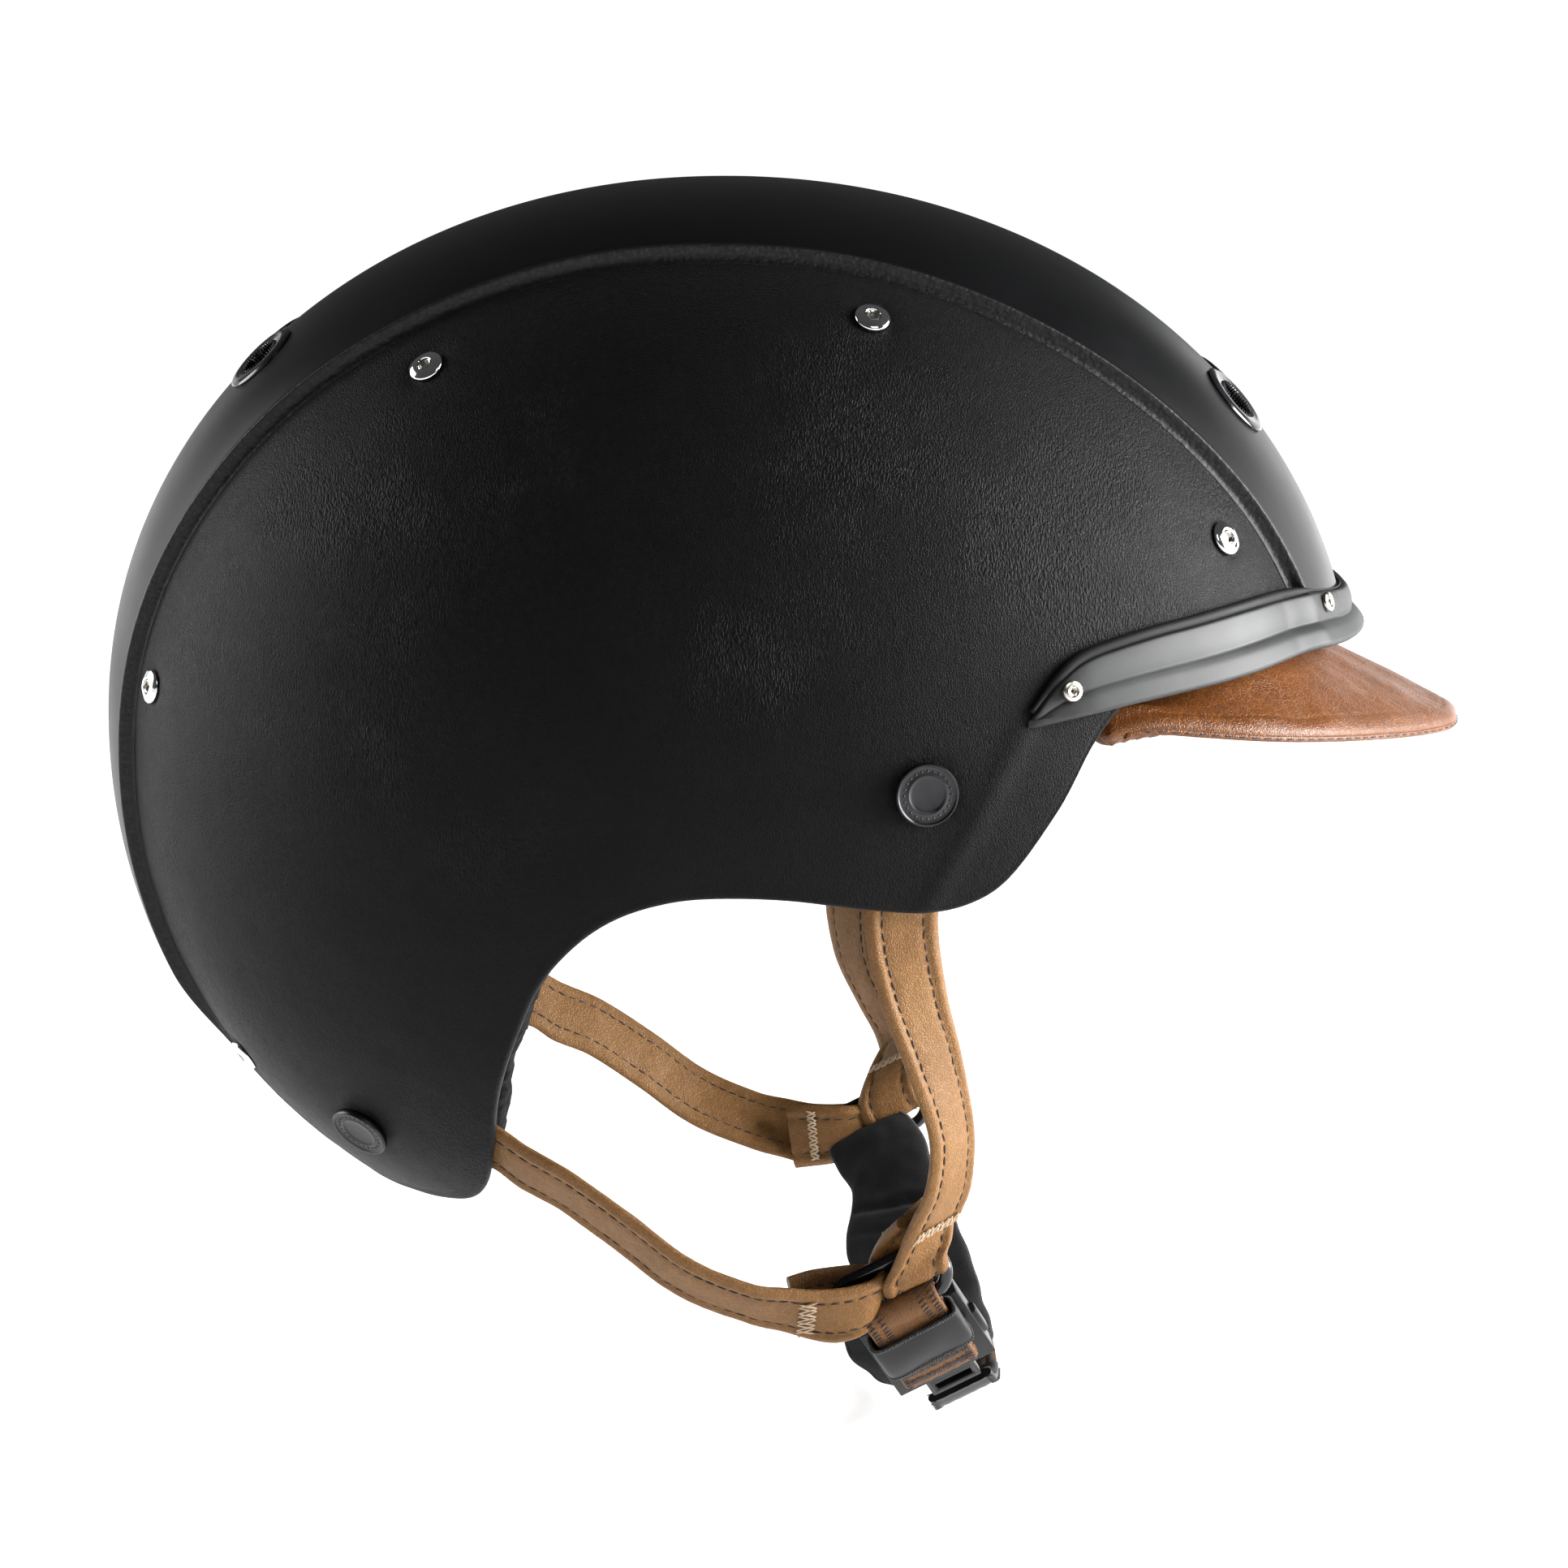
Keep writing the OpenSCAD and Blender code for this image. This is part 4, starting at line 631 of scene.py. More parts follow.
# ------------------------------------------------------------------ leather straps
def ribbon(B, C_, W, hw, th=1.5, roll=True, m=0, seam=True, nu=40, caps=True):
    "leather strap along points C_ with width directions W and half widths hw; returns the outward directions"
    n = len(C_); d = unit(np.gradient(C_, axis=0)); u = unit(np.cross(d, W)); W = unit(W)
    w = np.tanh(np.linspace(2.4, -2.4, nu)) / np.tanh(2.4)
    hw = np.broadcast_to(np.asarray(hw, float), (n,)); th = np.broadcast_to(np.asarray(th, float), (n,))
    x = w[None] * hw[:, None]; ax_w = np.abs(w)[None] * 8.25 + 0 * x
    end = np.sqrt(np.clip(1 - (ax_w / 8.25)**6, 0, 1))
    prof = 1.22 + (.50 * np.exp(-((ax_w - 6.7) / 1.15)**2) - .34 * np.exp(-((ax_w - 4.7) / .55)**2) if roll else 0) + .08 * np.cos(ax_w / 4.6 * 1.5)
    out = prof * end * th[:, None] / 1.5
    inn = (1.32 - .25 * np.exp(-((ax_w - 4.6) / .45)**2) - (.4 * np.exp(-(ax_w / .3)**2) - .12 * np.exp(-((ax_w - .8) / .6)**2) if seam else 0)) * end * th[:, None] / 1.5
    Gp = C_[:, None] + x[..., None] * W[:, None]
    wob = .07 * waves(Gp, 9, 20, 31) + .035 * waves(Gp, 3.1, 26, 32)
    O = Gp + (out + wob * end)[..., None] * u[:, None]; I = Gp - (inn + wob * end)[..., None] * u[:, None]
    B.tube(np.concatenate([O, I[:, ::-1][:, 1:-1]], 1), m, caps)
    return d, u, W
def rows_of_stitches(B, C_, d, u, W, hw, pitch, sides_, h_out, h_in, m=1, skip=(0, 1e9), L=1.12):
    s = np.r_[0, np.cumsum(np.linalg.norm(np.diff(C_, axis=0), axis=1))]
    hw = np.broadcast_to(np.asarray(hw, float), (len(s),))
    x = np.arange(2.0, s[-1] - 1.2, pitch)
    ip = lambda A: np.stack([np.interp(x, s, A[:, k]) for k in range(3)], -1)
    c, dd, uu, ww = ip(C_), unit(ip(d)), unit(ip(u)), unit(ip(W)); hh = np.interp(x, s, hw)
    r = np.random.default_rng(5)
    for j in range(len(x)):
        if not (skip[0] < x[j] < skip[1]): continue
        for sg in (-1, 1):
            for side in sides_:
                o = h_out if side > 0 else -h_in
                t = unit(dd[j] + ww[j] * .10 * r.normal())
                ellipsoid(B, c[j] + sg * ww[j] * hh[j] * .557 + uu[j] * o, (t, ww[j], uu[j]), (L, .27, .24), m)
def zigzag(B, c, across, along, up, half, m=2, n=13, amp=1.25, r=.24):
    "bar tack: a dense zig-zag of pale thread"
    k = np.random.default_rng(11)
    for layer in range(2):
        for j in range(n):
            a = c + across * (-half + 2 * half * (j + .25 * layer) / n) + along * (-amp * (1 if (j + layer) % 2 else -1)) + up * (.04 * k.normal())
            b = c + across * (-half + 2 * half * (j + 1 + .25 * layer) / n) + along * (amp * (1 if (j + layer) % 2 else -1)) + up * (.04 * k.normal())
            t = unit(b - a); L = np.linalg.norm(b - a) / 2
            ellipsoid(B, (a + b) / 2, (t, unit(np.cross(t, up)), up), (L, r, r), m)
def path_of(T, n):
    T = np.asarray([[float(v) for v in r] for r in T]); x = np.linspace(T[0, 0], T[-1, 0], n)
    return np.stack([her(T, x, 1), her(T, x, 2), her(T, x, 3)], -1), np.stack([her(T, x, 4), her(T, x, 5), her(T, x, 6)], -1), her(T, x, 7)
def seat(t, phi, z, w): return [t, *S(phi, z, -4.85), *w, 8.25]
def loop_rows(t, rows):
    "rows in hanging coordinates (x, y, z, wx, wy, wz, half width); t grows with the length"
    out = []; last = None
    for x, y, z, a, b, c, h in rows:
        p = hg(x, y, z)
        if last is not None: t += np.linalg.norm(p - last)
        last = p; out.append([t, *p, *wh(a, b, c), h])
    return out
def front_strap(name, straight):
    T = [seat(0, 66.6, -4, [1,.23,0]), seat(10, 66.6, -14, [1,.23,0]), seat(24, 67.3, -28, [1,.24,0])]
    if straight: T += [[38,36.6,-92.9,-42,1,.3,0,8.25],[57,33,-89.7,-60,1,.55,0,8.25],[74,30.2,-86.3,-76,1,.85,0,8.25],[91,31.8,-82.6,-92.5,1,1.2,0,8.25],[104,38,-79.3,-105,1,1.15,0,8.25],[112,42.8,-76.5,-112,1,.95,.1,8.25]]
    else: T += [[38,38.2,-92.9,-42,1,.3,0,8.25],[57,41,-89.5,-60,1,.55,0,8.25],[74,45.7,-86,-76,1,.9,0,8.25],[91,49.7,-82.5,-92.5,1,1.4,0,8.25],[104,49.2,-79.3,-105,1,1.25,0,8.25],[112,47,-76.5,-112,1,1.0,.1,8.25]]
    rows = [(13.2,-74.0,8.7,.93,.62,.0,8.2),(9.4,-73.3,4.4,1,.28,0,8.1),(6.9,-73.15,2.2,1,.12,0,8.1),(6.2,-72.3,.1,1,.05,0,8.1),(5.6,-70,-.9,1,0,0,8.1),(5.2,-67.7,-.1,1,0,0,8.1),
            (4.9,-66.7,2.2,1,-.02,0,8.1),(5.4,-66.9,5.6,1,.02,0,8.1),(7.6,-67.9,8.8,.99,.1,.05,8.0),(11.0,-69.9,11.9,.95,.4,.1,8.0),(14.6,-72.4,14.4,.85,.7,.1,8.0)]
    T += loop_rows(118.5, rows)
    C_, W, hw = path_of(T, 330)
    B = Build(); d, u, W = ribbon(B, C_, W, hw)
    s = np.r_[0, np.cumsum(np.linalg.norm(np.diff(C_, axis=0), axis=1))]
    rows_of_stitches(B, C_, d, u, W, hw, 2.85, (1, -1), 1.02, 1.14, skip=(12, 400))
    # bar tack through both layers
    j = np.argmin(np.linalg.norm(C_ - hg(11.2, -73.6, 6.3), axis=1) + (np.arange(len(C_)) > 240) * 99)
    j += 5; zigzag(B, C_[j] + u[j] * 1.68, W[j], d[j], u[j], 6.7, n=9, amp=2.05, r=.27)
    j = len(C_) - 14; zigzag(B, C_[j] + u[j] * 1.5, W[j], d[j], u[j], 6.7, n=12, amp=1.2, r=.28)
    return B.mesh(name, [M["strap"], M["thread_dark"], M["thread_pale"]], sharp=70)
def rear_strap():
    T = [seat(0, 149.5, -95, [-.35,-.65,1]), seat(9, 143.1, -97, [-.31,-.67,1]), seat(24, 133, -100, [-.18,-.72,1]), seat(35, 126, -101.5, [-.1,-.74,1]), [44,-43.5,-70.6,-103.4,.1,-.88,1,8.25],
      [54,-34.3,-73,-108,.2,-1,1,8.25],[69,-21.8,-74.7,-116.8,.3,-1.07,1,8.25],[86,-8.5,-75.6,-126.8,.3,-1.07,1,8.25],[102,6,-75.2,-133,.15,-1.0,1,8.2],[111,14,-74.2,-134.8,.1,-.8,1,8.1]]
    rows = [(-17.2,-73.7,3.0,.50,-.55,.8,8.0),(-12.5,-74.0,.6,.56,-.35,.8,7.6),(-8.0,-73.6,-.6,.62,-.2,.76,7.3),(-5.2,-72.4,-.9,.66,-.12,.74,7.2),(-4.2,-70.2,-.7,.66,-.05,.74,7.1),(-5.2,-67.8,-.1,.60,0,.8,7.1),
            (-8.2,-66.7,.9,.52,.02,.85,7.2),(-12.5,-66.9,2.4,.42,-.05,.9,7.5),(-17,-68.0,4.2,.34,-.15,.92,7.8),(-21.5,-69.4,5.6,.30,-.25,.92,7.9)]
    T += loop_rows(119, rows)
    C_, W, hw = path_of(T, 330)
    B = Build(); d, u, W = ribbon(B, C_, W, hw)
    rows_of_stitches(B, C_, d, u, W, hw, 2.85, (1, -1), 1.02, 1.14, skip=(12, 400))
    j = np.argmin(np.linalg.norm(C_ - hg(-19.2, -73.6, 3.6), axis=1) + (np.arange(len(C_)) > 250) * 99)
    zigzag(B, C_[j] + u[j] * 1.62, W[j], unit(d[j] + .35 * W[j]), u[j], 5.2, n=7, amp=2.1, r=.27)
    j = len(C_) - 14; zigzag(B, C_[j] + u[j] * 1.5, W[j], d[j], u[j], 6.2, n=11, amp=1.2, r=.28)
    return B.mesh("rear_strap_leather_right", [M["strap"], M["thread_dark"], M["thread_pale"]], sharp=70)
fs = front_strap("front_strap_leather_right", False); rs = rear_strap()
tmp = front_strap("front_strap_pattern", True); fl_ = mirrored(tmp, "front_strap_leather_left"); bpy.data.objects.remove(tmp); rl_ = mirrored(rs, "rear_strap_leather_left")
for o, nodes in ((fs, ("front_strap_right", "strap_loops_right")), (rs, ("rear_strap_right",)), (fl_, ("front_strap_left", "strap_loops_left")), (rl_, ("rear_strap_left",))):
    if o in (fs, fl_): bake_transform(o)
    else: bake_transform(o)
    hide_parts(*nodes)

# ------------------------------------------------------------------ chin webbing, keeper
def webbing(B, C_, W, hw, th, m=0, ms=1, rows=(-.86, -.56, .56, .86), pitch=.95, caps=True):
    "woven strap faced with leather, rows of short cross stitches along its edges"
    n = len(C_); d = unit(np.gradient(C_, axis=0)); W = unit(W - d * (W * d).sum(-1, keepdims=True)); u = np.cross(d, W)
    w = np.tanh(np.linspace(2.2, -2.2, 30)) / np.tanh(2.2); x = w[None] * hw + np.zeros((n, 1))
    end = np.sqrt(np.clip(1 - np.abs(w)**8, 0, 1))[None]
    rib = .07 * np.cos(x * 7.5)
    Gp = C_[:, None] + x[..., None] * W[:, None]
    O = Gp + ((th / 2 + rib) * end + 0 * x)[..., None] * u[:, None]; I = Gp - ((th / 2 + rib) * end + 0 * x)[..., None] * u[:, None]
    B.tube(np.concatenate([O, I[:, ::-1][:, 1:-1]], 1), m, caps)
    s = np.r_[0, np.cumsum(np.linalg.norm(np.diff(C_, axis=0), axis=1))]; q = np.arange(.6, s[-1] - .3, pitch)
    ip = lambda A: np.stack([np.interp(q, s, A[:, k]) for k in range(3)], -1)
    c, dd, uu, ww = ip(C_), ip(d), ip(u), ip(W)
    for j in range(len(q)):
        for r in rows:
            for sd in (1, -1): ellipsoid(B, c[j] + ww[j] * hw * r + uu[j] * sd * (th / 2 + .02), (unit(ww[j] + dd[j] * .35), dd[j], uu[j]), (.95, .26, .17), ms, nu=6, nv=3)
def right_webbing():
    B = Build()
    # loop round the lower bar, then straight to the buckle, a second layer folded back
    t = np.radians(np.linspace(-60, 232, 60)); R = 2.45
    Lp = np.array([nr(0, 0, 0) + R * (-np.cos(a) * YN * 1.0 + np.sin(a) * ZN) for a in t])
    a0 = np.array([nr(0, -2.0, -8 - 15.2 * k) for k in np.linspace(1, 0, 40)]); b0 = np.array([nr(0, .05, -5 - 18.2 * k) for k in np.linspace(0, 1, 40)])
    C_ = np.vstack([a0, [nr(0, -2.35, -5)], Lp[6:-6], [nr(0, 1.1, -3.2)], b0]); k = spline(C_, 190)
    webbing(B, k, np.tile(XH, (len(k), 1)), 8.9, 1.45)
    # sewn end, turned up over itself
    e = spline(np.array([nr(0, -2.75, -16.1), nr(0, -2.95, -20.6), nr(0, -2.9, -23.6), nr(0, -1.6, -24.8), nr(0, .3, -24.3)]), 60)
    webbing(B, e, np.tile(XH, (len(e), 1)), 9.0, 1.5, rows=(-.86, .86))
    for zz, am in ((-18.7, 1.1), (-21.9, 1.1)):
        zigzag(B, nr(0, -3.74, zz), XH, ZN, -YN, 8.3, m=1, n=30, amp=am, r=.2)
    return B.mesh("chin_webbing_leather_right", [M["web"], M["thread_dark"], M["thread_pale"]], sharp=60)
rw = right_webbing(); done(rw, "chin", "webbing_brown", "chin_webbing_right")
web_T = [[0,0,-40.6,-36.6,1,0,0],[7,0,-36,-39.9,1,0,0],[18,0,-26,-42,1,0,0],[36,0,-8,-43,1,0,0],[57,0,12,-39.3,1,0,0],[77,0,30,-30.5,1,0,0],[98,0,48,-19.5,1,0,0],[114,0,62,-11.6,1,0,0],[119,0,67,-9.2,1,0,0]]
def left_webbing():
    B = Build(); x = np.linspace(0, 119, 220)
    C_ = np.stack([hg(0, her(web_T, v, 2), her(web_T, v, 3)) for v in x])
    webbing(B, C_[40:], np.tile(XH, (len(C_) - 40, 1)), 7.6, 1.5)
    webbing(B, C_[:46], np.tile(XH, (46, 1)), 8.0, 2.3, m=3, ms=4, rows=(-.9, .9))
    t = np.radians(np.linspace(-150, 120, 50)); c = hg(0, 70, -5.5)
    Lp = np.array([c + 2.5 * (np.cos(a) * YH + np.sin(a) * ZH) for a in t]); webbing(B, Lp, np.tile(XH, (len(Lp), 1)), 7.4, 1.45)
    zigzag(B, C_[205] - unit(np.cross(unit(C_[206] - C_[204]), XH)) * -.8, XH, unit(C_[206] - C_[204]), unit(np.cross(unit(C_[206] - C_[204]), XH)), 6, n=10, amp=1.2)
    o = B.mesh("chin_webbing_leather_left", [M["web"], M["thread_dark"], M["thread_pale"], M["keeper"], M["thread_black"]], sharp=60)
    return o
lw = left_webbing(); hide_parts("chin_webbing_left")
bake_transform(lw)
def keeper():
    "soft sleeve round the webbing: bulged front, overlocked edges"
    B = Build(); z = np.linspace(-4.6, -16.4, 46); a = np.linspace(0, 2 * math.pi, 120, endpoint=False)
    ca, sa = np.cos(a), np.sin(a); e = 5.2
    rx = np.sign(ca) * np.abs(ca)**(2 / e) ; ry = np.sign(sa) * np.abs(sa)**(2 / e)
    R = []; inner = []
    for k, zz in enumerate(z):
        t = k / 45; bulge = math.sin(math.pi * t)
        w = 10.35 + .35 * bulge + .10 * math.sin(9 * t); lo, hi = -4.75 - .5 * bulge, 1.3
        y = np.where(ry < 0, (lo - hi) / 2 * -ry * 1.0, (hi - lo) / 2 * ry); yc = (lo + hi) / 2
        soft = 1 + .03 * np.sin(3.1 * rx + 5 * t) * (ry < 0)
        y = yc + ry * (hi - lo) / 2 * soft; yi = yc + ry * ((hi - lo) / 2 - .52)
        zz_ = zz + .45 * np.sin(2.1 * rx + .5) * (ry < 0) * (.4 + .6 * (1 - bulge))
        R.append(np.array([nr(w * rx[j], y[j], zz_[j]) for j in range(len(a))]))
        inner.append(np.array([nr((w - .6) * rx[j], yi[j], zz_[j]) for j in range(len(a))]))
    R = np.array(R); inner = np.array(inner)
    B.grid(R, 0, cv=True); B.grid(inner, 0, cv=True)
    B.grid(np.stack([R[0], inner[0]]), 0, cv=True); B.grid(np.stack([R[-1], inner[-1]]), 0, cv=True)
    # overlock thread on both rims
    for k in (0, -1):
        ring = R[k]; m_ = (ring + inner[k]) / 2; s = np.linalg.norm(np.roll(ring, -1, 0) - ring, axis=1)
        L = np.r_[0, np.cumsum(s)]; ringc = np.vstack([ring, ring[:1]]); mc = np.vstack([m_, m_[:1]])
        for q in np.arange(0, L[-1], .62):
            p = np.array([np.interp(q, L, ringc[:, i]) for i in range(3)]); b = np.array([np.interp(q, L, mc[:, i]) for i in range(3)])
            n_ = unit(p - b); ellipsoid(B, b + n_ * .25, (unit(n_ + .3 * ZN), ZN, unit(np.cross(n_, ZN))), (.55, .75, .24), 1, nu=6, nv=3)
    return B.mesh("keeper_sleeve", [M["keeper"], M["thread_black"]], sharp=60)
done(keeper(), "keeper", "rubber_black", "webbing_keeper")

# ------------------------------------------------------------------ foam liner
FT, FX = 24., 9.
def liner():
    npz, nv = 216, 66
    f = np.linspace(-180, 180, npz, endpoint=False)[:, None]; v = np.linspace(0, 1, nv)[None]; v = v**1.08
    z0 = her(foam_T, np.abs(f)); e0 = np.degrees(np.arcsin(np.clip(np.where(z0 > ZC, (z0 - ZC) / DH, (z0 - ZC) / LH), -1, 1)))
    e = e0 + (87.5 - e0) * v; z = ZC + np.where(e > 0, DH, LH) * np.sin(np.radians(e))
    base = P(f + 0 * z, z); n = nrm(base)
    dd = (z - z0) + 0 * f; R = 5.; rnd = R - np.sqrt(np.maximum(R * R - np.maximum(R - dd, 0)**2, 0))
    so = -(3.4 + 4 * (1 - sm(-5, 10, z))) - rnd * .8
    nx = np.abs(n[..., 0]); ti = FT + FX * nx**2
    # shallow air channels running back over the crown, and moulded steps beside them
    chan = np.exp(-((np.abs(base[..., 1]) - 30) / 5.5)**4) * sm(34, 46, z)
    mid = np.exp(-(base[..., 1] / 5.)**4) * sm(30, 44, z)
    si = -ti + 2.6 * chan + 2.0 * mid + rnd * .8
    O = base + n * so[..., None]; I = base + n * si[..., None]
    B = Build(); B.grid(O, cu=True); B.grid(I, cu=True); B.grid(np.stack([O[:, 0], I[:, 0]]), cv=True)
    for G, sg in ((O, 1), (I, -1)):
        R_ = G[:, -1]; k = len(R_); c = R_.mean(0) + [0, 0, .05 * sg]; j = np.arange(k)
        B.add(np.vstack([R_, c]), T=np.stack([j, (j + 1) % k, np.full(k, k)], -1))
    o = B.mesh("foam_liner", [M["foam"]], sharp=60)
    cs = []
    for w in vent_at:
        for sg in (-1, 1):
            p = C(w[0], sg * w[1]); cs.append(cyl_obj(p, nrm(p), 6.0, 110, 40))
    return cut(o, cs)
done(liner(), "helmet", "foam", "eps_liner")

# ------------------------------------------------------------------ soft pads
def inflate(o, voxel=3.6, pressure=4., cap=3.5, wall=None, keep=None):
    "voxel remesh, then a short cloth simulation under pressure; points move at most cap mm and not towards the wall"
    m = o.modifiers.new("remesh", "REMESH"); m.mode = "VOXEL"; m.voxel_size = voxel / 1000; m.use_smooth_shade = True
    apply_mods(o)
    n = len(o.data.vertices); a = np.empty(n * 3, np.float32); o.data.vertices.foreach_get("co", a); a = a.reshape(-1, 3).copy()
    c = o.modifiers.new("cloth", "CLOTH"); s = c.settings
    s.quality = 4; s.mass = .25; s.use_pressure = True; s.uniform_pressure_force = pressure; s.effector_weights.gravity = 0
    s.tension_stiffness = 12; s.compression_stiffness = 12; s.shear_stiffness = 6; s.bending_stiffness = .6
    c.collision_settings.use_collision = False; c.point_cache.frame_start = 1; c.point_cache.frame_end = 20
    for f in range(1, 21): scene.frame_set(f)
    dg = bpy.context.evaluated_depsgraph_get(); me = o.evaluated_get(dg).to_mesh()
    b = np.empty(n * 3, np.float32); me.vertices.foreach_get("co", b); b = b.reshape(-1, 3).copy(); o.evaluated_get(dg).to_mesh_clear()
    o.modifiers.clear(); scene.frame_set(1)
    d = np.nan_to_num(b - a); L = np.linalg.norm(d, axis=1, keepdims=True); d *= np.minimum(1, cap / 1000 / np.maximum(L, 1e-9))
    if wall is not None:
        w = wall(a * 1000); t = (d * w).sum(1, keepdims=True); d -= w * np.maximum(t, 0)
    a = a + d
    o.data.vertices.foreach_set("co", a.ravel()); o.data.update()
    for kind in ("SMOOTH",):
        q = o.modifiers.new("smooth", kind); q.factor = .5; q.iterations = 3
    q = o.modifiers.new("sub", "SUBSURF"); q.levels = 1; q.render_levels = 1
    apply_mods(o)
    o.data.polygons.foreach_set("use_smooth", np.ones(len(o.data.polygons), bool))
    return o
def groove_on(o, fn, depth):
    "press or raise points along their normals; fn gives 0..1 (or signed) at points in mm"
    n = len(o.data.vertices); a = np.empty(n * 3, np.float32); b = np.empty(n * 3, np.float32)
    o.data.vertices.foreach_get("co", a); o.data.vertices.foreach_get("normal", b); a = a.reshape(-1, 3); b = b.reshape(-1, 3)
    a = a + b * (fn(a * 1000.) * depth / 1000)[:, None].astype(np.float32)
    o.data.vertices.foreach_set("co", a.ravel()); o.data.update(); return o
def patch(name, f0, f1, z0, z1, o_, i_, mat, nu=40, nv=26, shrink=.8):
    a = np.linspace(0, 1, nu)[:, None]; b = np.linspace(0, 1, nv)[None]
    f = f0 + (f1 - f0) * a + 0 * b; z = z0 + (z1 - z0) * b + 0 * a
    p = P(f, z); n = nrm(p); e = FX * n[..., 0]**2
    r = np.minimum(1, 4 * np.sin(math.pi * a)) * np.minimum(1, 3 * np.sin(math.pi * b))
    O = p - n * (FT + e + o_ + shrink * .4)[..., None]; I = p - n * (FT + e + o_ + (i_ - shrink - o_) * (.35 + .65 * r))[..., None]
    return slab(Build(), O, I).mesh(name, [mat])
outward = lambda q: nrm(q)
def seams(*fs):
    return lambda q: -np.clip(sum(np.exp(-(f(q) / 1.1)**2) for f in fs), 0, 1) + .10 * waves(q, 12, 18, 41) + .05 * waves(q, 5, 20, 42)
br = inflate(patch("brow_pad_soft", -42, 42, 22, 46, 1.6, 7.5, M["lining"], 60, 16), 3.4, 4, 3, outward)
groove_on(br, seams(lambda q: np.abs(q[:, 1]) - 22, lambda q: (q[:, 2] - 27) * 1.0), 1.1)
done(br, "helmet", "lining_fabric", "brow_pad")
sp = inflate(patch("side_pad_right", 60, 104, -14, 26, 1.6, 7, M["lining"]), 3.4, 4, 3, outward)
groove_on(sp, seams(lambda q: q[:, 2] - 6, lambda q: np.abs(q[:, 0] - 6) - 12), 1.1)
sp2 = mirrored(sp, "side_pad_left")
for o in (sp, sp2): done(o, "helmet", "lining_fabric", "side_pads")
def crown_soft():
    a = np.linspace(0, 1, 36)[:, None]; b = np.linspace(0, 1, 28)[None]; y = -22 + 44 * b + 0 * a; al = 66.4 + 47.2 * a + 0 * b
    r = np.minimum(1, 4 * np.sin(math.pi * a)) * np.minimum(1, 3 * np.sin(math.pi * b))
    return slab(Build(), C(al, y, -(FT + 3.0) + 0 * r), C(al, y, -(FT + 2.6 + 4.6 * (.35 + .65 * r)))).mesh("crown_pad_soft", [M["lining"]])
cp = inflate(crown_soft(), 3.4, 4, 3, outward); groove_on(cp, seams(lambda q: q[:, 0], lambda q: np.abs(q[:, 1]) - 9), 1.0)
done(cp, "helmet", "lining_fabric", "crown_pad")
def lobe():
    nu, nv = 54, 40
    a = np.linspace(0, 1, nu)[:, None]; b = np.linspace(0, 1, nv)[None]
    f = 108.5 + 37.5 * a; zb = np.maximum(her(edge_T, f) - 1.0, -112.5); zt = her(foam_T, f) - 2.4; z = zb + (zt - zb) * b; f = f + 0 * b
    r = np.minimum(1, .35 + 2 * np.sin(math.pi * b)) * np.minimum(1, .3 + 2.5 * np.sin(math.pi * a))
    return slab(Build(), S(f, z, -7.6), S(f, z, -(7.4 + 11.6 * r))).mesh("neck_pad_soft_right", [M["mesh"]])
np_ = inflate(lobe(), 3.6, 4, 3.5, outward)
groove_on(np_, lambda q: .28 * waves(q, 3.2, 30, 51) + .22 * waves(q, 7, 20, 52) - .8 * np.exp(-(((q[:, 2] + 84) / 1.2)**2)) - .6 * np.exp(-(((q[:, 0] + 62) / 1.2)**2)), 1.0)
np2 = mirrored(np_, "neck_pad_soft_left")
done(np_, "helmet", "mesh_lining", "neck_pad_right"); done(np2, "helmet", "mesh_lining", "neck_pad_left")
def block(name, lo, hi, mat, r=3., n=14):
    "rounded cushion block"
    lo, hi = np.array(lo, float), np.array(hi, float); c = (lo + hi) / 2; h = (hi - lo) / 2
    u = np.linspace(0, 2 * math.pi, 4 * n, endpoint=False)[None]; v = np.linspace(-math.pi / 2, math.pi / 2, 2 * n + 1)[:, None]
    se = lambda x, e: np.sign(x) * np.abs(x)**e
    X = se(np.cos(v), .45) * se(np.cos(u), .28) * h[1]; Y = se(np.cos(v), .45) * se(np.sin(u), .28) * h[2]; Z = se(np.sin(v), .45) * h[0] + 0 * u
    G = np.stack([Z, X, Y], -1) + c
    return Build().tube(G[1:-1]).mesh(name, [mat])
nb = inflate(block("nape_pad_soft", (-81.6, -23.4, -102.4), (-77.4, 23.4, -63.6), M["lining"]), 2.8, 4, 2.0)
groove_on(nb, seams(lambda q: np.abs(q[:, 1]) - 8, lambda q: q[:, 2] + 83), .8)
done(nb, "cradle", "lining_fabric", "nape_pad")
ap = inflate(block("arm_pad_soft_right", (-83.8, -42.4, -99.6), (-79.0, -34.2, -82.4), M["lining"]), 1.6, 4, .8)
groove_on(ap, seams(lambda q: q[:, 2] + 91), .5)
ap2 = mirrored(ap, "arm_pad_soft_left")
done(ap, "arm_right", "lining_fabric", "arm_pad_right"); done(ap2, "arm_left", "lining_fabric", "arm_pad_left")

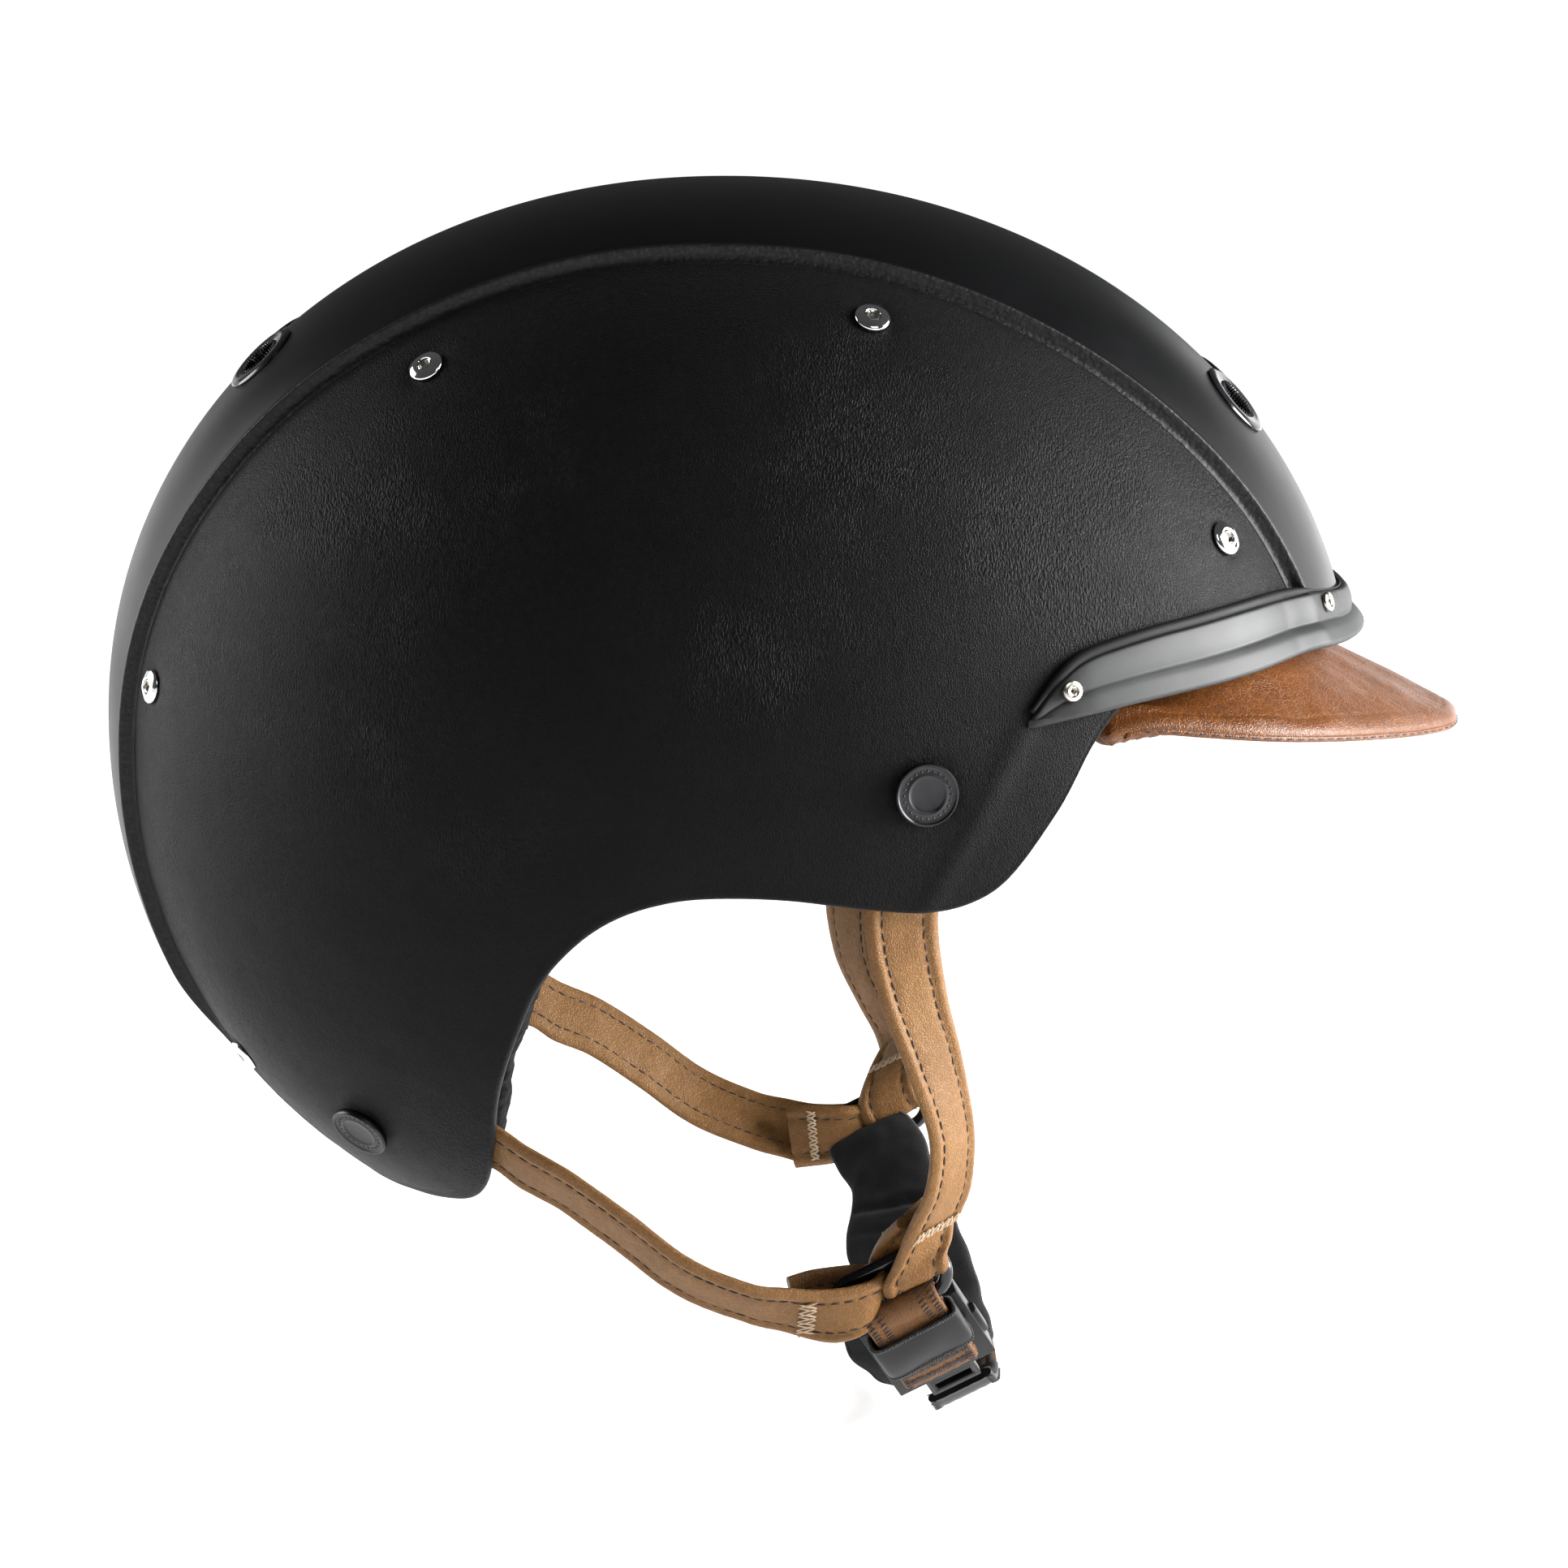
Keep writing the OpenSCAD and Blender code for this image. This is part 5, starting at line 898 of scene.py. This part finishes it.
# ------------------------------------------------------------------ chin pad: shaped in code, with an overlocked edge
pad_T = [[0,-55.1,-6.4],[10,-49.1,-14.4],[20,-43,-22.4],[30,-36,-29.4],[42,-26,-35],[60,-8.5,-37.6],[80,11,-33],[100,28.5,-23.5],[118,44.5,-14],[140,63,-3],[146,68,0]]
wide_T = [[0,14,9],[8,17.2,9],[16,18,9],[24,16.8,9],[32,14.6,9],[42,13.2,9],[60,13,9],[75,13.8,9],[90,17.5,9.3],[104,18.6,9.6],[113,17.2,9],[119.5,13.8,8.6],[124,12.8,9],[130,12.6,9.5],[138,13.6,8.6],[146,14.6,6.6]]
def chin_pad():
    n, m = 220, 60
    s = np.linspace(.5, 145, n); e = np.minimum(s - .5, 145 - s); cr = np.sqrt(np.clip(1 - (1 - np.minimum(e / 5.5, 1))**2, 0, 1))
    y, z = her(pad_T, s, 1), her(pad_T, s, 2)
    Cc = np.array([hg(0, y[i], z[i]) for i in range(n)]); d = unit(np.gradient(Cc, axis=0)); up = unit(np.cross(XH, d))
    if (up[n // 2] * ZH).sum() < 0: up = -up
    wl, wr = her(wide_T, s, 1), her(wide_T, s, 2); k = .80 + .20 * cr
    wob = .35 * np.sin(s / 4.3) + .25 * np.sin(s / 2.1 + 1)
    a = np.linspace(0, 2 * math.pi, 2 * m, endpoint=False); ca, sa = np.cos(a), np.sin(a)
    t = ca; prof = np.sign(sa) * (np.abs(sa)**.62)
    half = np.where(t[None] < 0, (wl * k + wob)[:, None], (wr * k + .6 * wob)[:, None]); x = t[None] * half
    th = (2.5 * (.35 + .65 * cr))[:, None] * prof[None]
    # crease under the far webbing, soft quilting and hand-made unevenness
    sc = s[:, None] + .42 * (x + 14); cre = np.exp(-(((sc - 119.5) / 1.7)**2)) * .95 + .35 * np.exp(-(((s[:, None] - 36) / 2.6)**2)) + .3 * np.exp(-(((sc - 111.5) / 1.4)**2))
    wav = .5 * waves(np.stack([x, 0 * x + s[:, None], 0 * x], -1), 21, 16, 61) + .22 * waves(np.stack([x, 0 * x + s[:, None], 0 * x], -1), 8, 20, 62)
    th = th * (1 - .55 * cre) ; ben = wav * np.abs(prof[None]) * .8
    G = Cc[:, None] + x[..., None] * XH + (th + ben)[..., None] * up[:, None]
    B = Build(); B.tube(G, 0)
    # overlock stitches all the way round
    eL = Cc + (-(wl * k + wob))[:, None] * XH; eR = Cc + ((wr * k + .6 * wob))[:, None] * XH
    ring = np.vstack([eL, np.linspace(eL[-1], eR[-1], 30)[1:-1], eR[::-1], np.linspace(eR[0], eL[0], 30)[1:-1]])
    cen = np.vstack([Cc, np.repeat(Cc[-1:] - d[-1] * 3, 28, 0), Cc[::-1], np.repeat(Cc[:1] + d[:1] * 3, 28, 0)])
    L = np.r_[0, np.cumsum(np.linalg.norm(np.diff(np.vstack([ring, ring[:1]]), axis=0), axis=1))]; q = np.arange(0, L[-1], .78)
    rc = np.vstack([ring, ring[:1]]); cc = np.vstack([cen, cen[:1]]); uu = np.vstack([up, np.repeat(up[-1:], 28, 0), up[::-1], np.repeat(up[:1], 28, 0), up[:1]])
    ip = lambda A: np.stack([np.interp(q, L, A[:, i]) for i in range(3)], -1)
    p, c, w = ip(rc), ip(cc), unit(ip(uu)); g = unit(np.gradient(p, axis=0))
    for j in range(len(q)):
        o_ = unit(p[j] - c[j]); o_ = unit(o_ - g[j] * (o_ @ g[j]))
        ellipsoid(B, p[j] - .15 * o_, (unit(w[j] + .25 * g[j]), o_, g[j]), (1.05, .55, .27), 1, nu=6, nv=3)
    return B.mesh("chin_pad_velvet", [M["velvet"], M["thread_black"]], sharp=75)
chp = chin_pad(); done(chp, "chin", "chin_velvet", "chin_pad")

# ------------------------------------------------------------------ moulded parts: softened copies of the frame's meshes
def softened(node, body, slot, mat, w=.45, name=None, ang=35, seg=2):
    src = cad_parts[node]; me = src.data.copy(); me.name = (name or node + "_moulded")
    o = bpy.data.objects.new(me.name, me); scene.collection.objects.link(o)
    bm = bmesh.new(); bm.from_mesh(me); bmesh.ops.remove_doubles(bm, verts=bm.verts, dist=1e-6)
    bmesh.ops.dissolve_limit(bm, angle_limit=math.radians(1.5), verts=bm.verts, edges=bm.edges)
    bmesh.ops.recalc_face_normals(bm, faces=bm.faces); bm.to_mesh(me); bm.free()
    b = o.modifiers.new("bevel", "BEVEL"); b.width = w / 1000; b.segments = seg; b.limit_method = "ANGLE"; b.angle_limit = math.radians(ang); b.use_clamp_overlap = True; b.harden_normals = False
    t = o.modifiers.new("tri", "TRIANGULATE"); apply_mods(o)
    o.data.materials.clear(); o.data.materials.append(mat); o.data.polygons.foreach_set("material_index", np.zeros(len(o.data.polygons), np.int32))
    o.data.polygons.foreach_set("use_smooth", np.ones(len(o.data.polygons), bool)); o.data.set_sharp_from_angle(angle=math.radians(34))
    return done(o, body, slot, node)
for node, body, slot, key, w in (("peak_socket", "helmet", "socket_plastic", "socket", .6), ("peak_tongue", "peak", "socket_plastic", "socket", .5), ("cradle_hanger", "helmet", "cradle_plastic", "cradle", .5),
      ("cradle_yoke", "cradle", "cradle_plastic", "cradle", .6), ("gear_housing", "cradle", "cradle_plastic", "cradle", .8), ("rack_arm_right", "arm_right", "cradle_plastic", "cradle", .2),
      ("rack_arm_left", "arm_left", "cradle_plastic", "cradle", .2), ("buckle_housing", "chin", "buckle_plastic", "buckle", 1.1), ("buckle_cover", "chin", "buckle_plastic", "buckle", .5),
      ("buckle_tongue", "tongue", "buckle_plastic", "buckle", .4), ("buckle_button", "button", "buckle_plastic", "buckle", .5)):
    softened(node, body, slot, M[key], w, seg=3 if w > .7 else 2)
# ------------------------------------------------------------------ floor (glowing: painted light), lights
# the floor glows: painted light, emission .43 near the helmet rising to .97 far off
fm = Mat("glowing_floor_paper", (.86, .855, .85), .85, spec=.2, Emission_Color=(1, 1, 1, 1), Emission_Strength=.62)
fv = fm.node("ShaderNodeVectorMath", operation="LENGTH"); fm._in(fv.inputs[0], fm.co)
fm._in(fm.b.inputs["Emission Strength"], fm.mapr(fv.outputs["Value"], .55, 2.2, .43, .97, True))
fm.color(fm.mix(fm.mapr(fm.noise(3, 3, .5), .3, .7, 0, 1), (.85, .845, .84), (.88, .875, .87)))
fl_z = -.178
me = bpy.data.meshes.new("floor"); me.from_pydata([(-30, -30, fl_z), (30, -30, fl_z), (30, 30, fl_z), (-30, 30, fl_z)], [], [(0, 1, 2, 3)]); me.materials.append(fm.m)
floor = bpy.data.objects.new("floor", me); scene.collection.objects.link(floor)
world = bpy.data.worlds.new("studio"); scene.world = world; world.use_nodes = True
wt = world.node_tree; bg = wt.nodes["Background"]; bg.inputs["Strength"].default_value = 1.0
tc = wt.nodes.new("ShaderNodeTexCoord"); sx = wt.nodes.new("ShaderNodeSeparateXYZ"); wt.links.new(tc.outputs["Generated"], sx.inputs[0])
ma = wt.nodes.new("ShaderNodeMapRange"); wt.links.new(sx.outputs["Y"], ma.inputs[0])
for i, x in enumerate((-1., .8, .05, .09)): ma.inputs[i + 1].default_value = x
cmb = wt.nodes.new("ShaderNodeCombineColor")
for i in range(3): wt.links.new(ma.outputs[0], cmb.inputs[i])
wt.links.new(cmb.outputs[0], bg.inputs[0])
def area(name, loc, look, size, power, color=(1, 1, 1), sy=None):
    d = bpy.data.lights.new(name, "AREA"); d.energy = power; d.color = color; d.shape = "RECTANGLE"; d.size = size; d.size_y = sy or size
    o = bpy.data.objects.new(name, d); scene.collection.objects.link(o); o.location = Vector(loc)
    o.rotation_euler = (Vector(look) - Vector(loc)).to_track_quat("-Z", "Y").to_euler(); return o
area("front_softbox", (1.1, -.12, .22), (.05, -.02, -.02), .7, 56, sy=.9)
area("rear_softbox", (-1.1, .2, .25), (0, 0, 0), .6, 13.5, sy=.8)
area("front_wall", (.85, .95, .12), (0, 0, .02), 1.0, 3.2, sy=.5)
area("rear_wall", (-.85, .95, .12), (0, 0, .02), .8, .9, sy=.4)
area("key", (.55, -1.0, .75), (0, 0, -.02), .5, 2.5)
scene.view_settings.view_transform = "Standard"
